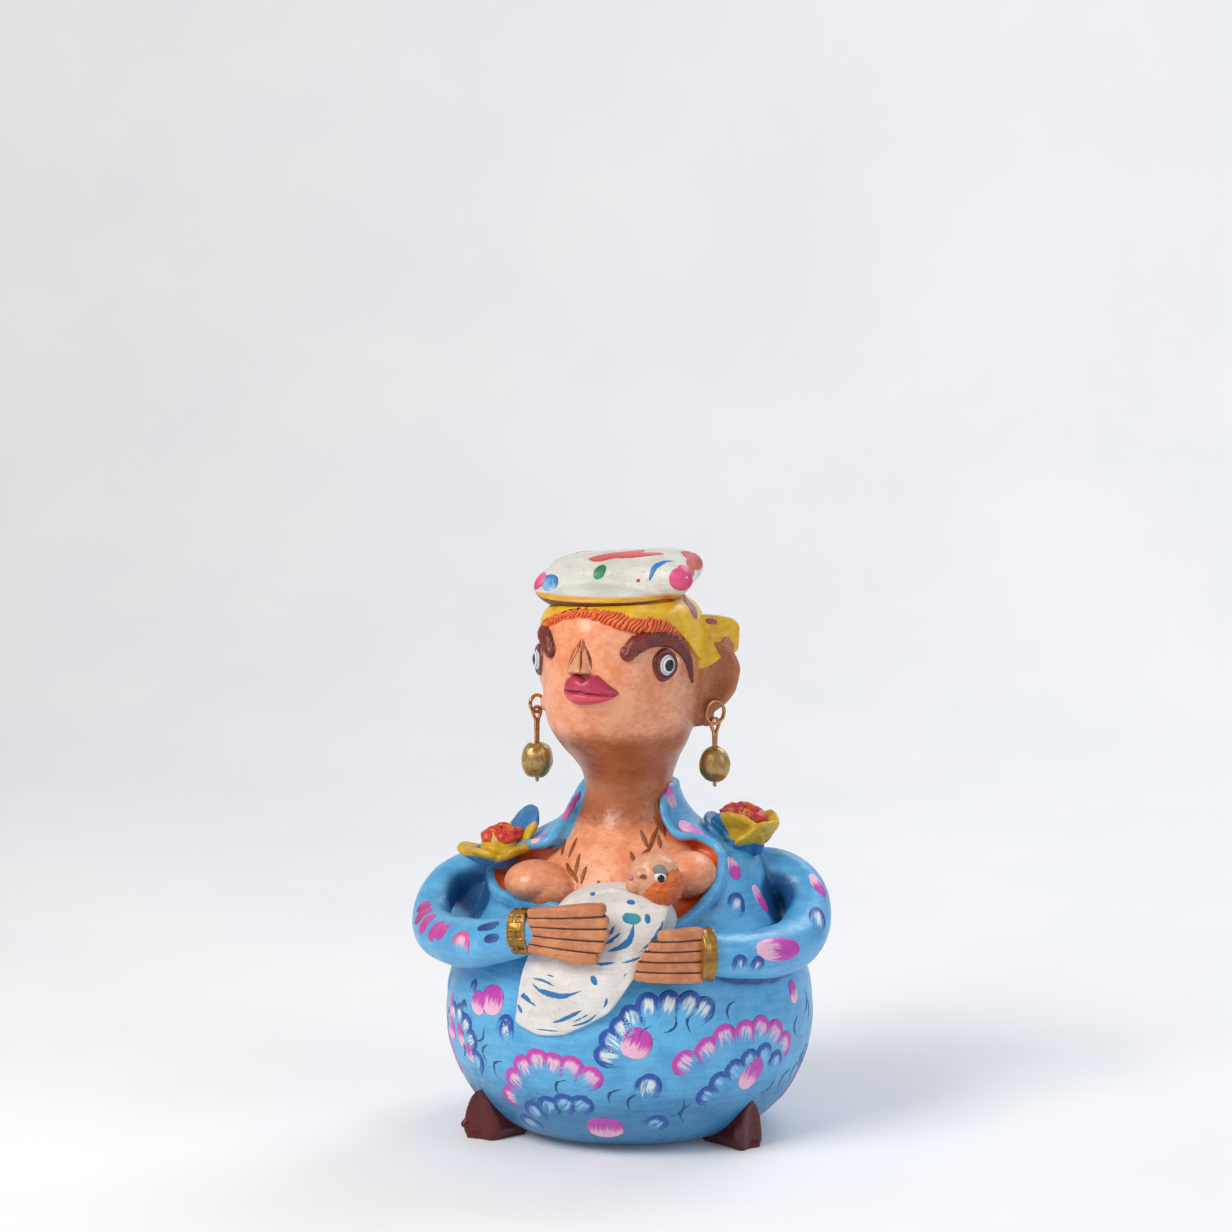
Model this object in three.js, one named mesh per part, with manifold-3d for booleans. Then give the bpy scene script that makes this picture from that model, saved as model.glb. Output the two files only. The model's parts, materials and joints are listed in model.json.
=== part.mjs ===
// Clay folk figurine: a pot-bodied mother nursing a baby, painted, with wire earrings.
// The clay is one fired piece. Each earring is a hoop, a doubled drop wire and a clay bead.
// Millimetres, +Z up. The figure faces -Y and its left side is +X.
// The origin is the centre of the flat underside.

import * as THREE from 'three';
import { ParametricGeometry } from 'three/addons/geometries/ParametricGeometry.js';
import { mergeVertices } from 'three/addons/utils/BufferGeometryUtils.js';
import Module from 'manifold-3d';

// Dress: a pot with a flat base, drawn in to sloping shoulders and a collar
const BASE_RADIUS = 20;
const POT_RADIUS = 40.4;
const POT_WIDEST_Z = 26;
const SHOULDER_OUTLINE = [
  [POT_RADIUS, POT_WIDEST_Z], [39.6, 33], [37, 40], [33.8, 46], [31.6, 51],
  [30.2, 56], [27, 60.5], [20.5, 64.5], [15.5, 67.5], [12.8, 71.5], [11.4, 76],
];
const CHEST_FLATNESS = 0.2;     // share of the depth that the upper body loses
const COLLAR_TOP_Z = 76;

// Neckline, as azimuth in degrees (0 is the front) and height, from the figure's left round the V
const NECKLINE_LEFT = [[56, 78], [48, 73], [41, 69.5], [42, 65.8], [57, 65], [59, 62], [46, 57], [35, 52]];
const NECKLINE_V = [[20, 48.5], [-5, 48.5]];
const NECKLINE_RIGHT = [[-26, 52], [-45, 52], [-63, 52.8], [-79, 55], [-77, 58.6], [-61, 61.4], [-48, 63.5],
  [-62, 67.5], [-80, 72], [-88, 78]];
const NECKLINE_DEPTH = 9;
const RIM_RADIUS = 1.1;

// Neck, head and chest: one gourd-like form, radius and height
const BUST_OUTLINE = [
  [22, 46], [21, 54], [18, 60], [13.6, 65], [10.8, 69], [9.6, 73], [9.7, 77], [11.4, 81],
  [14.2, 85], [16.4, 89.5], [17.6, 95], [18, 101], [17.7, 107], [17, 111.5], [15.4, 114.6], [12.4, 116.6],
];
const CROWN_Z = 117.2;
const BUST_Y = -2;
const FACE_TURN = -17;          // degrees, towards the figure's right
const FACE_STRETCH = 1.19;
const FACE_NARROWING = 0.915;
const FACE_FORWARD = 3;
const SNOUT = 1.6;

// Face, as azimuth and height on the head
const MOUTH = { azimuth: -5, z: 99.1, halfWidth: 6.2, halfHeight: 3.6 };
const NOSE = { azimuth: -16.5, baseZ: 102.6, apexZ: 109.2, halfFace: 2.2, halfBase: 3.9, height: 3 };
const FACE_GIRTH = 22;          // radius by which a length across the face becomes an azimuth
const EYES = [{ azimuth: 44, z: 103.7 }, { azimuth: -78, z: 103.6 }];
const EYE_RADIUS = 2.5;
const EYE_RING = 3.3;
const BROW_THICKNESS = 1.5;
const BROW_ARC = [[-26, 3], [-19, 4.9], [-7, 5.9], [9, 4.8], [21, 1], [28, -4.6]];

// Ears, as outlines of distance from the head's axis and height
const EAR_OUTLINE = [[13, 104], [20.5, 106.3], [24.2, 102], [24, 97], [22, 93.4], [17.8, 90.2], [15.8, 87.8],
  [13, 90]];
const LOBE_RADII = [1.7, 1.9, 2.2];
const EAR_THICKNESS = 3.6;
const EAR_AZIMUTHS = { left: 101, right: -118 };

// Headscarf, its flap, the hair below it and the cushion on top
const SCARF_THICKNESS = 1.1;
const SCARF_EDGE = { mean: 104.9, swing: 10.6, napeDrop: 5.6 };
const HAIR_LOCKS = 17;
const HAIR_SPAN = [-70, 82];    // degrees from the face
const HAIR_RADIUS = 1.5;
const FLAP_OUTLINE = [[9, 112.5], [16.4, 112.6], [21.4, 111.2], [23, 109], [23, 103], [19.4, 105],
  [15.4, 102.6], [10, 104.5]];
const FLAP_THICKNESS = 2.6;
const CUSHION = { width: 35.2, depth: 23, above: 5.2, below: 5.4, x: -1.9, y: -2.4, z: 120.7 };
const CUSHION_TILT = [4.5, -4, -2];
const CUSHION_STALK = [13, 10, 4];

// Chest, and the arms with the clay pressed in behind their bends
const BREASTS = [
  { at: [-18.2, -17.5, 57.4], radii: [7.2, 7.4, 4.8] }, { at: [-14.6, -18.8, 54.8], radii: [5.6, 5.6, 5.4] },
  { at: [14.2, -14.5, 58.2], radii: [6.2, 7, 5] },
];
const ARMS = {
  right: {
    path: [[-23, 4, 54.5], [-32, 3, 55], [-39.6, -1, 52.6], [-42, -9.5, 48], [-39.4, -18.5, 44.6],
      [-30, -29, 44.6], [-22, -34.5, 47], [-15.8, -37.4, 49.4]],
    radii: [5.4, 4.9, 4.2, 4.1, 5, 5.4, 4.9, 4.4],
  },
  left: {
    path: [[23, 4, 55.2], [32, 3.8, 55.4], [37.8, 1.5, 52.2], [39.4, -5, 46.8], [37.2, -14, 43.4],
      [31.5, -24, 43], [25.5, -31, 44], [21.5, -34.5, 45]],
    radii: [5.6, 5.2, 4.9, 5.2, 5.5, 5.4, 4.9, 4.4],
  },
};
const ARMPITS = [{ at: [-35, 2.5, 49], radii: [7.5, 4.5, 8] }, { at: [31, 6, 50], radii: [6, 5, 8] }];

// Hands, cuffs and blanket
const FINGERS = 5;
const FINGER_RADIUS = 1.5;
const HANDS = {
  right: { wrist: [-15, -40.4, 50.2], tips: [0.2, -42.4, 50.4], spread: 8, splay: 1.4, slant: 1.6 },
  left: { wrist: [19.4, -37.6, 45.4], tips: [9, -41.2, 45.6], spread: 8.8, splay: -0.6, slant: 5 },
};
const CUFFS = {
  right: { at: [-17, -38.2, 49.6], radii: [2.5, 4.6, 5.1], turn: 30 },
  left: { at: [20.8, -35.9, 45.1], radii: [2.2, 4.7, 5.7], turn: -36 },
};
const BLANKET_OUTLINE = [[1.4, 58.4], [13.6, 54.4], [9.8, 45], [1, 33], [-8.5, 28.2], [-15, 27.4],
  [-20.6, 29.6], [-19.4, 38.6], [-17.2, 45], [-9.1, 55.6]];
const BLANKET_THICKNESS = 1.4;
const SWADDLE = { at: [0.6, -26, 50.6], radii: [13, 9, 9] };

// The baby's head: skull, hair, eye and nose
const BABY = [
  { at: [9.6, -29.8, 60.4], radii: [5.6, 5.4, 5.4] }, { at: [11.6, -28.8, 58.6], radii: [5.6, 5.4, 5] },
  { at: [10.8, -34.6, 60.6], radii: [1.3, 0.9, 1.5] }, { at: [6.4, -34, 61.6], radii: [1.1, 1.2, 1.1] },
];

// Roses on the shoulders: foot, tilt in degrees, petals as azimuth, length, width, lift and cup, and the
// middle and radii of the crumpled heart
const ROSES = [
  {
    at: [24.6, 0, 60.4], tilt: [8, 4], heart: { at: [0.4, 0.4, 6.6], radii: [4.6, 3.2, 2.6] },
    petals: [
      [-155, 7.6, 6.4, 3.4, 1.6], [-110, 6, 7.4, 4.8, 1], [-40, 6.6, 7.6, 4.2, 1.2], [15, 6.6, 6.4, 3, 1.4],
      [80, 6, 7, 4, 1.4],
    ],
  },
  {
    at: [-28.2, -5.4, 58.4], tilt: [12, -6], heart: { at: [-0.4, 0.6, 5.4], radii: [3.2, 2.6, 1.8] },
    petals: [
      [175, 8.4, 6, 1.6, 1], [-135, 6.4, 6, 2.6, 1.2], [-70, 5.6, 6.6, 3.2, 1.2], [100, 5.6, 6, 3, 1.4],
      [12, 4.6, 4.6, 6.2, 2.2],
    ],
  },
];

// Shoe tips, as three corners on the ground and the point they are drawn up to
const SHOES = [
  { corners: [[-33.6, -20], [-26, -22.8], [-18.6, -14.5]], apex: [-29.6, -22.9, 11.4] },
  { corners: [[31, -18.2], [15.6, -14.4], [26.4, -23.4]], apex: [29.6, -22.2, 10.8] },
];

// Earrings: wire 0.8 mm thick, hoops through the ear lobes
const WIRE_RADIUS = 0.4;
const WIRE_CLEARANCE = 0.3;
const EARRINGS = {
  left: {
    at: [18.8, -1, 91.2], radius: 2.5, turn: -45, lean: 40, drop: 5, squareness: 2.2, lobe: [16.8, 0.2, 90],
  },
  right: {
    at: [-21.5, 6, 91.4], radius: 1.65, turn: 14, lean: 0, drop: 6.8, squareness: 3.2, lobe: [-19.2, 7, 91.6],
  },
};
const STRAND_TWIST = 55;        // degrees that the doubled wire turns on its way down
const BEAD = { width: 6.7, height: 7.8, bore: 1.15 };

const WELD = 1e-4;
const FULL_TURN = 2 * Math.PI;
const radians = THREE.MathUtils.degToRad;
const smooth = THREE.MathUtils.smoothstep;

const wasm = await Module();
wasm.setup();

// A closed mesh becomes a solid with its faces pointing out.
function solid(geometry) {
  geometry.deleteAttribute('normal');
  geometry.deleteAttribute('uv');
  const merged = mergeVertices(geometry, WELD);
  const points = merged.attributes.position;
  const index = merged.index.array;
  const faces = [];
  const [a, b, c] = [new THREE.Vector3(), new THREE.Vector3(), new THREE.Vector3()];
  let volume = 0;
  for (let i = 0; i < index.length; i += 3) {
    const corners = [index[i], index[i + 1], index[i + 2]];
    if (new Set(corners).size < 3) continue;
    faces.push(...corners);
    a.fromBufferAttribute(points, corners[0]);
    b.fromBufferAttribute(points, corners[1]);
    c.fromBufferAttribute(points, corners[2]);
    volume += a.dot(b.cross(c));
  }
  if (volume < 0) faces.reverse();
  const vertProperties = new Float32Array(points.array);
  return new wasm.Manifold(new wasm.Mesh({ numProp: 3, vertProperties, triVerts: new Uint32Array(faces) }));
}

function joined(solids) {
  return solids.reduce((whole, piece) => whole.add(piece));
}

// A surface closed at two poles: shape(angle, v) gives the point at v from 0 to 1.
function closedSurface(shape, around, along) {
  const place = (u, v, target) => target.copy(shape(u * FULL_TURN, v));
  return solid(new ParametricGeometry(place, around, along));
}

// An outline turned about Z, each point then placed by place(radius, azimuth, height).
function turned(outline, segments, place) {
  const geometry = new THREE.LatheGeometry(outline, segments);
  const position = geometry.attributes.position;
  for (let i = 0; i < position.count; i += 1) {
    const radius = Math.hypot(position.getX(i), position.getZ(i));
    const azimuth = Math.atan2(position.getX(i), position.getZ(i));
    const { x, y, z } = place(radius, azimuth, position.getY(i));
    position.setXYZ(i, x, y, z);
  }
  return solid(geometry);
}

function spline2(points, divisions) {
  return new THREE.SplineCurve(points.map(([x, y]) => new THREE.Vector2(x, y))).getPoints(divisions);
}

function path3(points, closed = false, tension = 0.5) {
  const places = points.map((p) => new THREE.Vector3(...p));
  return new THREE.CatmullRomCurve3(places, closed, 'catmullrom', tension);
}

// Radius of an outline at a height, read between its points
function radiusAt(outline, z) {
  const above = outline.findIndex((p, i) => i > 0 && p.y >= z && outline[i - 1].y < p.y);
  if (above < 0) return outline[outline.length - 1].x;
  const [low, high] = [outline[above - 1], outline[above]];
  return THREE.MathUtils.mapLinear(z, low.y, high.y, low.x, high.x);
}

// A rope of clay along a curve: radius(t) is its thickness at t from 0 to 1, and the ends are round.
function rope(curve, radius, sides, steps) {
  const frames = curve.computeFrenetFrames(steps, false);
  const rings = steps + 2;
  return closedSurface((angle, v) => {
    const ring = Math.round(v * rings);
    const step = THREE.MathUtils.clamp(ring - 1, 0, steps);
    const atEnd = ring === 0 || ring === rings;
    const size = atEnd ? 0 : radius(step / steps);
    const point = curve.getPointAt(step / steps);
    point.addScaledVector(frames.normals[step], size * Math.cos(angle));
    return point.addScaledVector(frames.binormals[step], size * Math.sin(angle));
  }, sides, rings);
}

// A flat lump of clay: an outline about its middle, domed to both sides, each point placed by
// place(x, y, height). Height runs from front at the middle of one side to -back on the other.
function pad(outline, front, back, place, around, along, tension = 0.5) {
  const curve = path3(outline.map(([x, y]) => [x, y, 0]), true, tension);
  const middle = new THREE.Vector3();
  outline.forEach(([x, y]) => middle.add(new THREE.Vector3(x, y, 0)));
  middle.divideScalar(outline.length);
  return closedSurface((angle, v) => {
    const spread = Math.sin(Math.PI * v);
    const rise = Math.cos(Math.PI * v);
    const point = middle.clone().lerp(curve.getPoint((angle / FULL_TURN) % 1), Math.sqrt(spread));
    return place(point.x, point.y, rise > 0 ? rise * front : rise * back);
  }, around, along);
}

function ellipsoid([x, y, z], [rx, ry, rz], detail = 10, turn = new THREE.Euler()) {
  const geometry = new THREE.SphereGeometry(1, detail, Math.round(detail * 0.6));
  geometry.scale(rx, ry, rz);
  geometry.applyQuaternion(new THREE.Quaternion().setFromEuler(turn));
  geometry.translate(x, y, z);
  return solid(geometry);
}

// The dress's outer surface at an azimuth and height, or outside it by out
const BASE_STEPS = 5;
const basePoints = Array.from({ length: BASE_STEPS + 1 }, (_, i) => {
  const turn = (i / BASE_STEPS) * (Math.PI / 2);
  const radius = BASE_RADIUS + (POT_RADIUS - BASE_RADIUS) * Math.sin(turn);
  return new THREE.Vector2(radius, POT_WIDEST_Z * (1 - Math.cos(turn)));
});
const dressOutline = [...basePoints, ...spline2(SHOULDER_OUTLINE, 10).slice(1)];
const bustOutline = spline2(BUST_OUTLINE, 14);

function placeOnDress(radius, azimuth, z) {
  const flat = 1 - CHEST_FLATNESS * (smooth(z, 40, 56) - smooth(z, 62, 70));
  return new THREE.Vector3(radius * Math.sin(azimuth), -radius * flat * Math.cos(azimuth), z);
}

function onDress(azimuth, z, out) {
  return placeOnDress(radiusAt(dressOutline, z) + out, radians(azimuth), z);
}

// The head is stretched along the face and narrowed across it; the neck and chest stay round.
function placeOnBust(radius, azimuth, z) {
  const face = radians(FACE_TURN);
  const share = smooth(z, 76, 90);
  const forward = radius * Math.cos(azimuth - face);
  const sideways = radius * Math.sin(azimuth - face);
  const fromMouth = Math.acos(Math.cos(azimuth - radians(MOUTH.azimuth)));
  const snout = (SNOUT / 18) * Math.exp(-((fromMouth / 0.5) ** 2) - ((z - 97) / 7) ** 2);
  const f = forward * (1 + (FACE_STRETCH - 1) * share) + FACE_FORWARD * share + radius * snout;
  const s = sideways * (1 + (FACE_NARROWING - 1) * share);
  const x = f * Math.sin(face) + s * Math.cos(face);
  const y = -f * Math.cos(face) + s * Math.sin(face);
  return new THREE.Vector3(x, y + BUST_Y, z);
}

function onHead(azimuth, z, out) {
  return placeOnBust(radiusAt(bustOutline, z) + out, radians(azimuth), z);
}

function makeDress() {
  const outline = [new THREE.Vector2(0, 0), ...dressOutline, new THREE.Vector2(0, COLLAR_TOP_Z)];
  return turned(outline, 24, placeOnDress);
}

// The open neckline: a hollow sunk into the dress inside the neckline's loop
function makeNecklineHollow() {
  const loop = [...NECKLINE_LEFT, ...NECKLINE_V, ...NECKLINE_RIGHT];
  return pad(loop, 9, NECKLINE_DEPTH, (azimuth, z, height) => onDress(azimuth, z, height), 28, 4);
}

function makeRim() {
  const loop = [...NECKLINE_LEFT.slice(1), ...NECKLINE_V, ...NECKLINE_RIGHT.slice(0, -1)];
  const points = loop.map(([azimuth, z]) => onDress(azimuth, z, -0.2).toArray());
  for (let azimuth = -110; azimuth > -300; azimuth -= 40) {
    points.push(onDress(azimuth, COLLAR_TOP_Z - 0.8, -0.4).toArray());
  }
  const curve = path3(points, true);
  const steps = 30;
  const sides = 4;
  const frames = curve.computeFrenetFrames(steps, true);
  const positions = [];
  const faces = [];
  for (let i = 0; i < steps; i += 1) {
    const middle = curve.getPointAt(i / steps);
    for (let j = 0; j < sides; j += 1) {
      const angle = (j / sides) * FULL_TURN;
      const point = middle.clone().addScaledVector(frames.normals[i], RIM_RADIUS * Math.cos(angle));
      point.addScaledVector(frames.binormals[i], RIM_RADIUS * Math.sin(angle));
      positions.push(...point.toArray());
      const [a, b] = [i * sides + j, i * sides + ((j + 1) % sides)];
      const [c, d] = [((i + 1) % steps) * sides + j, ((i + 1) % steps) * sides + ((j + 1) % sides)];
      faces.push(a, c, b, b, c, d);
    }
  }
  const geometry = new THREE.BufferGeometry();
  geometry.setAttribute('position', new THREE.Float32BufferAttribute(positions, 3));
  geometry.setIndex(faces);
  return solid(geometry);
}

function makeBust() {
  const outline = [new THREE.Vector2(0, 46), ...bustOutline, new THREE.Vector2(0, CROWN_Z)];
  const breasts = BREASTS.map(({ at, radii }) => ellipsoid(at, radii, 7));
  return joined([turned(outline, 20, placeOnBust), ...breasts]);
}

function makeArm({ path, radii }) {
  const radius = (t) => {
    const place = t * (radii.length - 1);
    const step = Math.min(Math.floor(place), radii.length - 2);
    return THREE.MathUtils.lerp(radii[step], radii[step + 1], place - step);
  };
  return rope(path3(path), radius, 8, 9);
}

// Five fingers side by side, each a rope of clay from the cuff to the finger tips, whose row is slanted
function makeHand({ wrist, tips, spread, splay, slant }) {
  const from = new THREE.Vector3(...wrist);
  const to = new THREE.Vector3(...tips);
  const fingers = [];
  for (let i = 0; i < FINGERS; i += 1) {
    const share = i / (FINGERS - 1) - 0.5;
    const shorter = 1 - 0.5 * share * share;
    const start = from.clone().add(new THREE.Vector3(0, 0, -share * spread));
    const end = from.clone().lerp(to, shorter);
    end.add(new THREE.Vector3(-share * slant, 0, -share * (spread + splay)));
    const middle = start.clone().lerp(end, 0.5).add(new THREE.Vector3(0, -0.5, 0));
    const curve = path3([start.toArray(), middle.toArray(), end.toArray()]);
    fingers.push(rope(curve, (t) => FINGER_RADIUS * (t > 0.95 ? 0.7 : 1), 5, 2));
  }
  return joined(fingers);
}

function makeCuff({ at, radii, turn }) {
  return ellipsoid(at, radii, 7, new THREE.Euler(0, 0, radians(turn)));
}

// The blanket hangs over the arm and the belly, with the baby's body behind its upper part.
function blanketDepth(z) {
  return 41.9 - 6.6 * smooth(z, 38, 60);
}

function makeBlanket() {
  const place = (x, z, height) => {
    const radius = blanketDepth(z) - BLANKET_THICKNESS + height;
    const turn = x / blanketDepth(z);
    return new THREE.Vector3(radius * Math.sin(turn), -radius * Math.cos(turn), z);
  };
  const sheet = pad(BLANKET_OUTLINE, BLANKET_THICKNESS, 9, place, 20, 4, 0.2);
  return joined([sheet, ellipsoid(SWADDLE.at, SWADDLE.radii, 7)]);
}

function makeBaby() {
  return joined(BABY.map(({ at, radii }) => ellipsoid(at, radii, radii[0] > 2 ? 8 : 5)));
}

// A shoe tip: three pinched corners on the ground, drawn up to a point against the dress
function makeShoe({ corners, apex: [apexX, apexY, apexZ] }) {
  const middle = new THREE.Vector3();
  corners.forEach(([x, y]) => middle.add(new THREE.Vector3(x / 3, y / 3, 0)));
  const outline = path3(corners.flatMap(([x, y], i) => {
    const [nextX, nextY] = corners[(i + 1) % 3];
    return [[x, y, 0], [(x + nextX) / 2, (y + nextY) / 2, 0]];
  }), true);
  const rings = 6;
  const apex = new THREE.Vector3(apexX, apexY, 0);
  return closedSurface((angle, v) => {
    const edge = outline.getPoint((angle / FULL_TURN) % 1);
    const ring = Math.round(v * rings);
    if (ring === 0) return middle.clone();
    const rise = (ring - 1) / (rings - 1);
    const spread = (1 - rise ** 1.6) ** 0.8 * (ring === 1 ? 0.92 : 1);
    return apex.clone().lerp(edge, spread).setZ(apexZ * rise);
  }, 12, rings);
}

function makeEar(azimuth) {
  const out = radians(azimuth);
  const place = (distance, z, height) => {
    const x = distance * Math.sin(out) + height * Math.cos(out);
    const y = -distance * Math.cos(out) + height * Math.sin(out);
    return new THREE.Vector3(x, y - 3, z);
  };
  return pad(EAR_OUTLINE, EAR_THICKNESS / 2, EAR_THICKNESS / 2, place, 12, 3);
}

function makeEye({ azimuth, z }) {
  const middle = onHead(azimuth, z, 0);
  const outward = onHead(azimuth, z, 4).sub(middle).normalize();
  const facing = new THREE.Quaternion().setFromUnitVectors(new THREE.Vector3(0, 1, 0), outward);
  const outline = [
    [0, -2], [EYE_RING, -2], [EYE_RING, 0.7], [EYE_RING - 0.5, 1.2], [EYE_RADIUS, 1], [EYE_RADIUS * 0.75, 2],
    [1.2, 2.3], [0, 2.7],
  ].map(([x, y]) => new THREE.Vector2(x, y));
  const geometry = new THREE.LatheGeometry(outline, 10);
  geometry.applyQuaternion(facing);
  geometry.translate(...middle.toArray());
  return solid(geometry);
}

function makeBrow(side) {
  const eye = EYES[side > 0 ? 0 : 1];
  const points = BROW_ARC.map(([turn, rise]) => onHead(eye.azimuth + side * turn, eye.z + rise, 0.4));
  return rope(path3(points.map((point) => point.toArray())), (t) => BROW_THICKNESS * (1 - 0.5 * t), 5, 6);
}

function makeMouth() {
  const lips = [];
  for (const [turn, rise, wide, tall] of [[-8, 1, 0.62, 0.52], [7, 1, 0.66, 0.52], [0, -1.4, 0.86, 0.48]]) {
    const at = onHead(MOUTH.azimuth + turn, MOUTH.z + rise, 0.2).toArray();
    const radii = [MOUTH.halfWidth * wide, 2.3, MOUTH.halfHeight * tall];
    lips.push(ellipsoid(at, radii, 7, new THREE.Euler(0, 0, radians(MOUTH.azimuth + turn))));
  }
  return joined(lips);
}

// The nose: a wedge with a narrow three-cornered front, widest and highest at its base
function makeNose() {
  const aside = (length) => THREE.MathUtils.radToDeg(length / FACE_GIRTH);
  const corner = (length, z, out) => onHead(NOSE.azimuth + aside(length), z, out).toArray();
  return wasm.Manifold.hull([
    corner(0, NOSE.apexZ, -0.2), corner(0, NOSE.baseZ, -4),
    corner(-NOSE.halfBase, NOSE.baseZ, -0.2), corner(NOSE.halfBase, NOSE.baseZ, -0.2),
    corner(-NOSE.halfFace, NOSE.baseZ + 0.3, NOSE.height),
    corner(NOSE.halfFace, NOSE.baseZ + 0.3, NOSE.height),
  ]);
}

// Height of the headscarf's lower edge at an azimuth
function scarfEdge(azimuth) {
  const turn = radians(azimuth - FACE_TURN);
  const away = Math.acos(Math.cos(turn));
  return SCARF_EDGE.mean + SCARF_EDGE.swing * Math.cos(turn) - SCARF_EDGE.napeDrop * smooth(away, 1.9, 3.1);
}

// The headscarf covers the crown, and its end folds out over the left ear as a pointed flap.
function makeScarf() {
  const crown = bustOutline[bustOutline.length - 1];
  const crownShare = 0.2;
  const wrapShare = 0.85;
  const shell = closedSurface((angle, v) => {
    const azimuth = THREE.MathUtils.radToDeg(angle);
    const edge = scarfEdge(azimuth);
    if (v > wrapShare) {
      const inside = new THREE.Vector3(0, BUST_Y, crown.y - 6);
      return inside.lerp(onHead(azimuth, edge, -1.5), (1 - v) / (1 - wrapShare));
    }
    if (v < crownShare) {
      return placeOnBust((crown.x + SCARF_THICKNESS) * (v / crownShare), angle, crown.y + SCARF_THICKNESS);
    }
    const z = THREE.MathUtils.lerp(crown.y, edge, (v - crownShare) / (wrapShare - crownShare));
    return onHead(azimuth, z, SCARF_THICKNESS);
  }, 22, 7);
  const place = (x, z, height) => new THREE.Vector3(x - height * 0.6, x - 17 - height * 0.8, z);
  const flap = pad(FLAP_OUTLINE, FLAP_THICKNESS / 2, FLAP_THICKNESS / 2, place, 12, 3, 0.3);
  return joined([shell, flap]);
}

// The fringe below the scarf: a rope of clay notched into short locks
function makeHair() {
  const points = Array.from({ length: 12 }, (_, i) => {
    const azimuth = FACE_TURN + THREE.MathUtils.lerp(...HAIR_SPAN, i / 11);
    return onHead(azimuth, scarfEdge(azimuth) - 1, -0.1).toArray();
  });
  const steps = HAIR_LOCKS * 2;
  return rope(path3(points), (t) => HAIR_RADIUS * (Math.round(t * steps) % 2 ? 1 : 0.6), 4, steps);
}

// The cushion: a square pad with pulled corners on a low stalk of clay, raised to its left and back
function makeCushion() {
  const { width, depth, above, below, x, y, z } = CUSHION;
  const tilt = new THREE.Euler(...CUSHION_TILT.map(radians));
  const pillow = closedSurface((angle, v) => {
    const [c, s] = [Math.cos(angle), Math.sin(angle)];
    const corners = 0.94 + 0.06 * Math.sin(2 * angle) ** 6;
    const square = corners * (Math.abs(c) ** 9 + Math.abs(s) ** 9) ** (-1 / 9);
    const spread = Math.sin(Math.PI * v) ** 0.42 * square;
    const rise = Math.cos(Math.PI * v) * (1 - 0.15 * Math.sin(2 * angle) ** 2 * Math.sin(Math.PI * v));
    const height = rise * (rise > 0 ? above : below);
    const point = new THREE.Vector3(c * spread * width / 2, s * spread * depth / 2, height);
    return point.applyEuler(tilt).add(new THREE.Vector3(x, y, z));
  }, 24, 6);
  return joined([pillow, ellipsoid([x, y, z - below], CUSHION_STALK, 8)]);
}

// A rose on the shoulder: petals cupped round its middle, and a crumpled heart
function makeRose({ at, tilt, petals, heart }) {
  const turn = new THREE.Euler(radians(tilt[0]), radians(tilt[1]), 0);
  const foot = new THREE.Vector3(...at);
  const put = (x, y, z) => new THREE.Vector3(x, y, z).applyEuler(turn).add(foot);
  const outline = [[0, -0.5], [0.5, -0.95], [1, -0.7], [1.15, 0], [1, 0.7], [0.5, 0.95], [0, 0.5]];
  const leaves = petals.map(([azimuth, length, width, lift, cup]) => {
    const [c, s] = [Math.cos(radians(azimuth)), Math.sin(radians(azimuth))];
    return pad(outline, 0.9, 0.9, (x, y, height) => {
      const slope = Math.atan2(lift + 2 * cup * x, length);
      const along = x * length - height * Math.sin(slope);
      const across = y * width * 0.6;
      const up = lift * x + cup * (x * x + y * y * 0.4) + height * Math.cos(slope);
      return put(along * c - across * s, along * s + across * c, up);
    }, 8, 4);
  });
  const tall = heart.at[2] / 2;
  const core = ellipsoid(put(0, 0, tall).toArray(), [4.4, 4.2, tall + 2], 8, turn);
  const crumple = ellipsoid(put(...heart.at).toArray(), heart.radii, 7, turn);
  return joined([core, crumple, ...leaves]);
}

// The necklace: two rows of short slanted strokes of clay from the neck down to the breast
function makeNecklace() {
  const strokes = [];
  for (const [side, [from, to], [high, low]] of [[1, [70, 12], [71, 60.5]], [-1, [-62, -8], [62.6, 56.5]]]) {
    for (let i = 0; i < 6; i += 1) {
      const share = i / 5;
      const azimuth = THREE.MathUtils.lerp(from, to, share);
      const geometry = new THREE.OctahedronGeometry(1);
      geometry.scale(0.7, 1, 1.9);
      geometry.rotateY(radians(side * (i % 2 ? 50 : -10)));
      geometry.rotateZ(radians(azimuth));
      geometry.translate(...onHead(azimuth, THREE.MathUtils.lerp(high, low, share), 0.2).toArray());
      strokes.push(solid(geometry));
    }
  }
  return joined(strokes);
}

// A hoop's ring in its own plane, turned about Z and leaned over, at its place in the ear
function ring({ at, radius, turn, lean }, thickness, sides, steps) {
  const geometry = new THREE.TorusGeometry(radius, thickness, sides, steps);
  geometry.rotateX(Math.PI / 2);
  geometry.rotateY(Math.PI / 2);
  geometry.rotateX(radians(lean));
  geometry.rotateZ(radians(turn));
  geometry.translate(...at);
  return solid(geometry);
}

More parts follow.
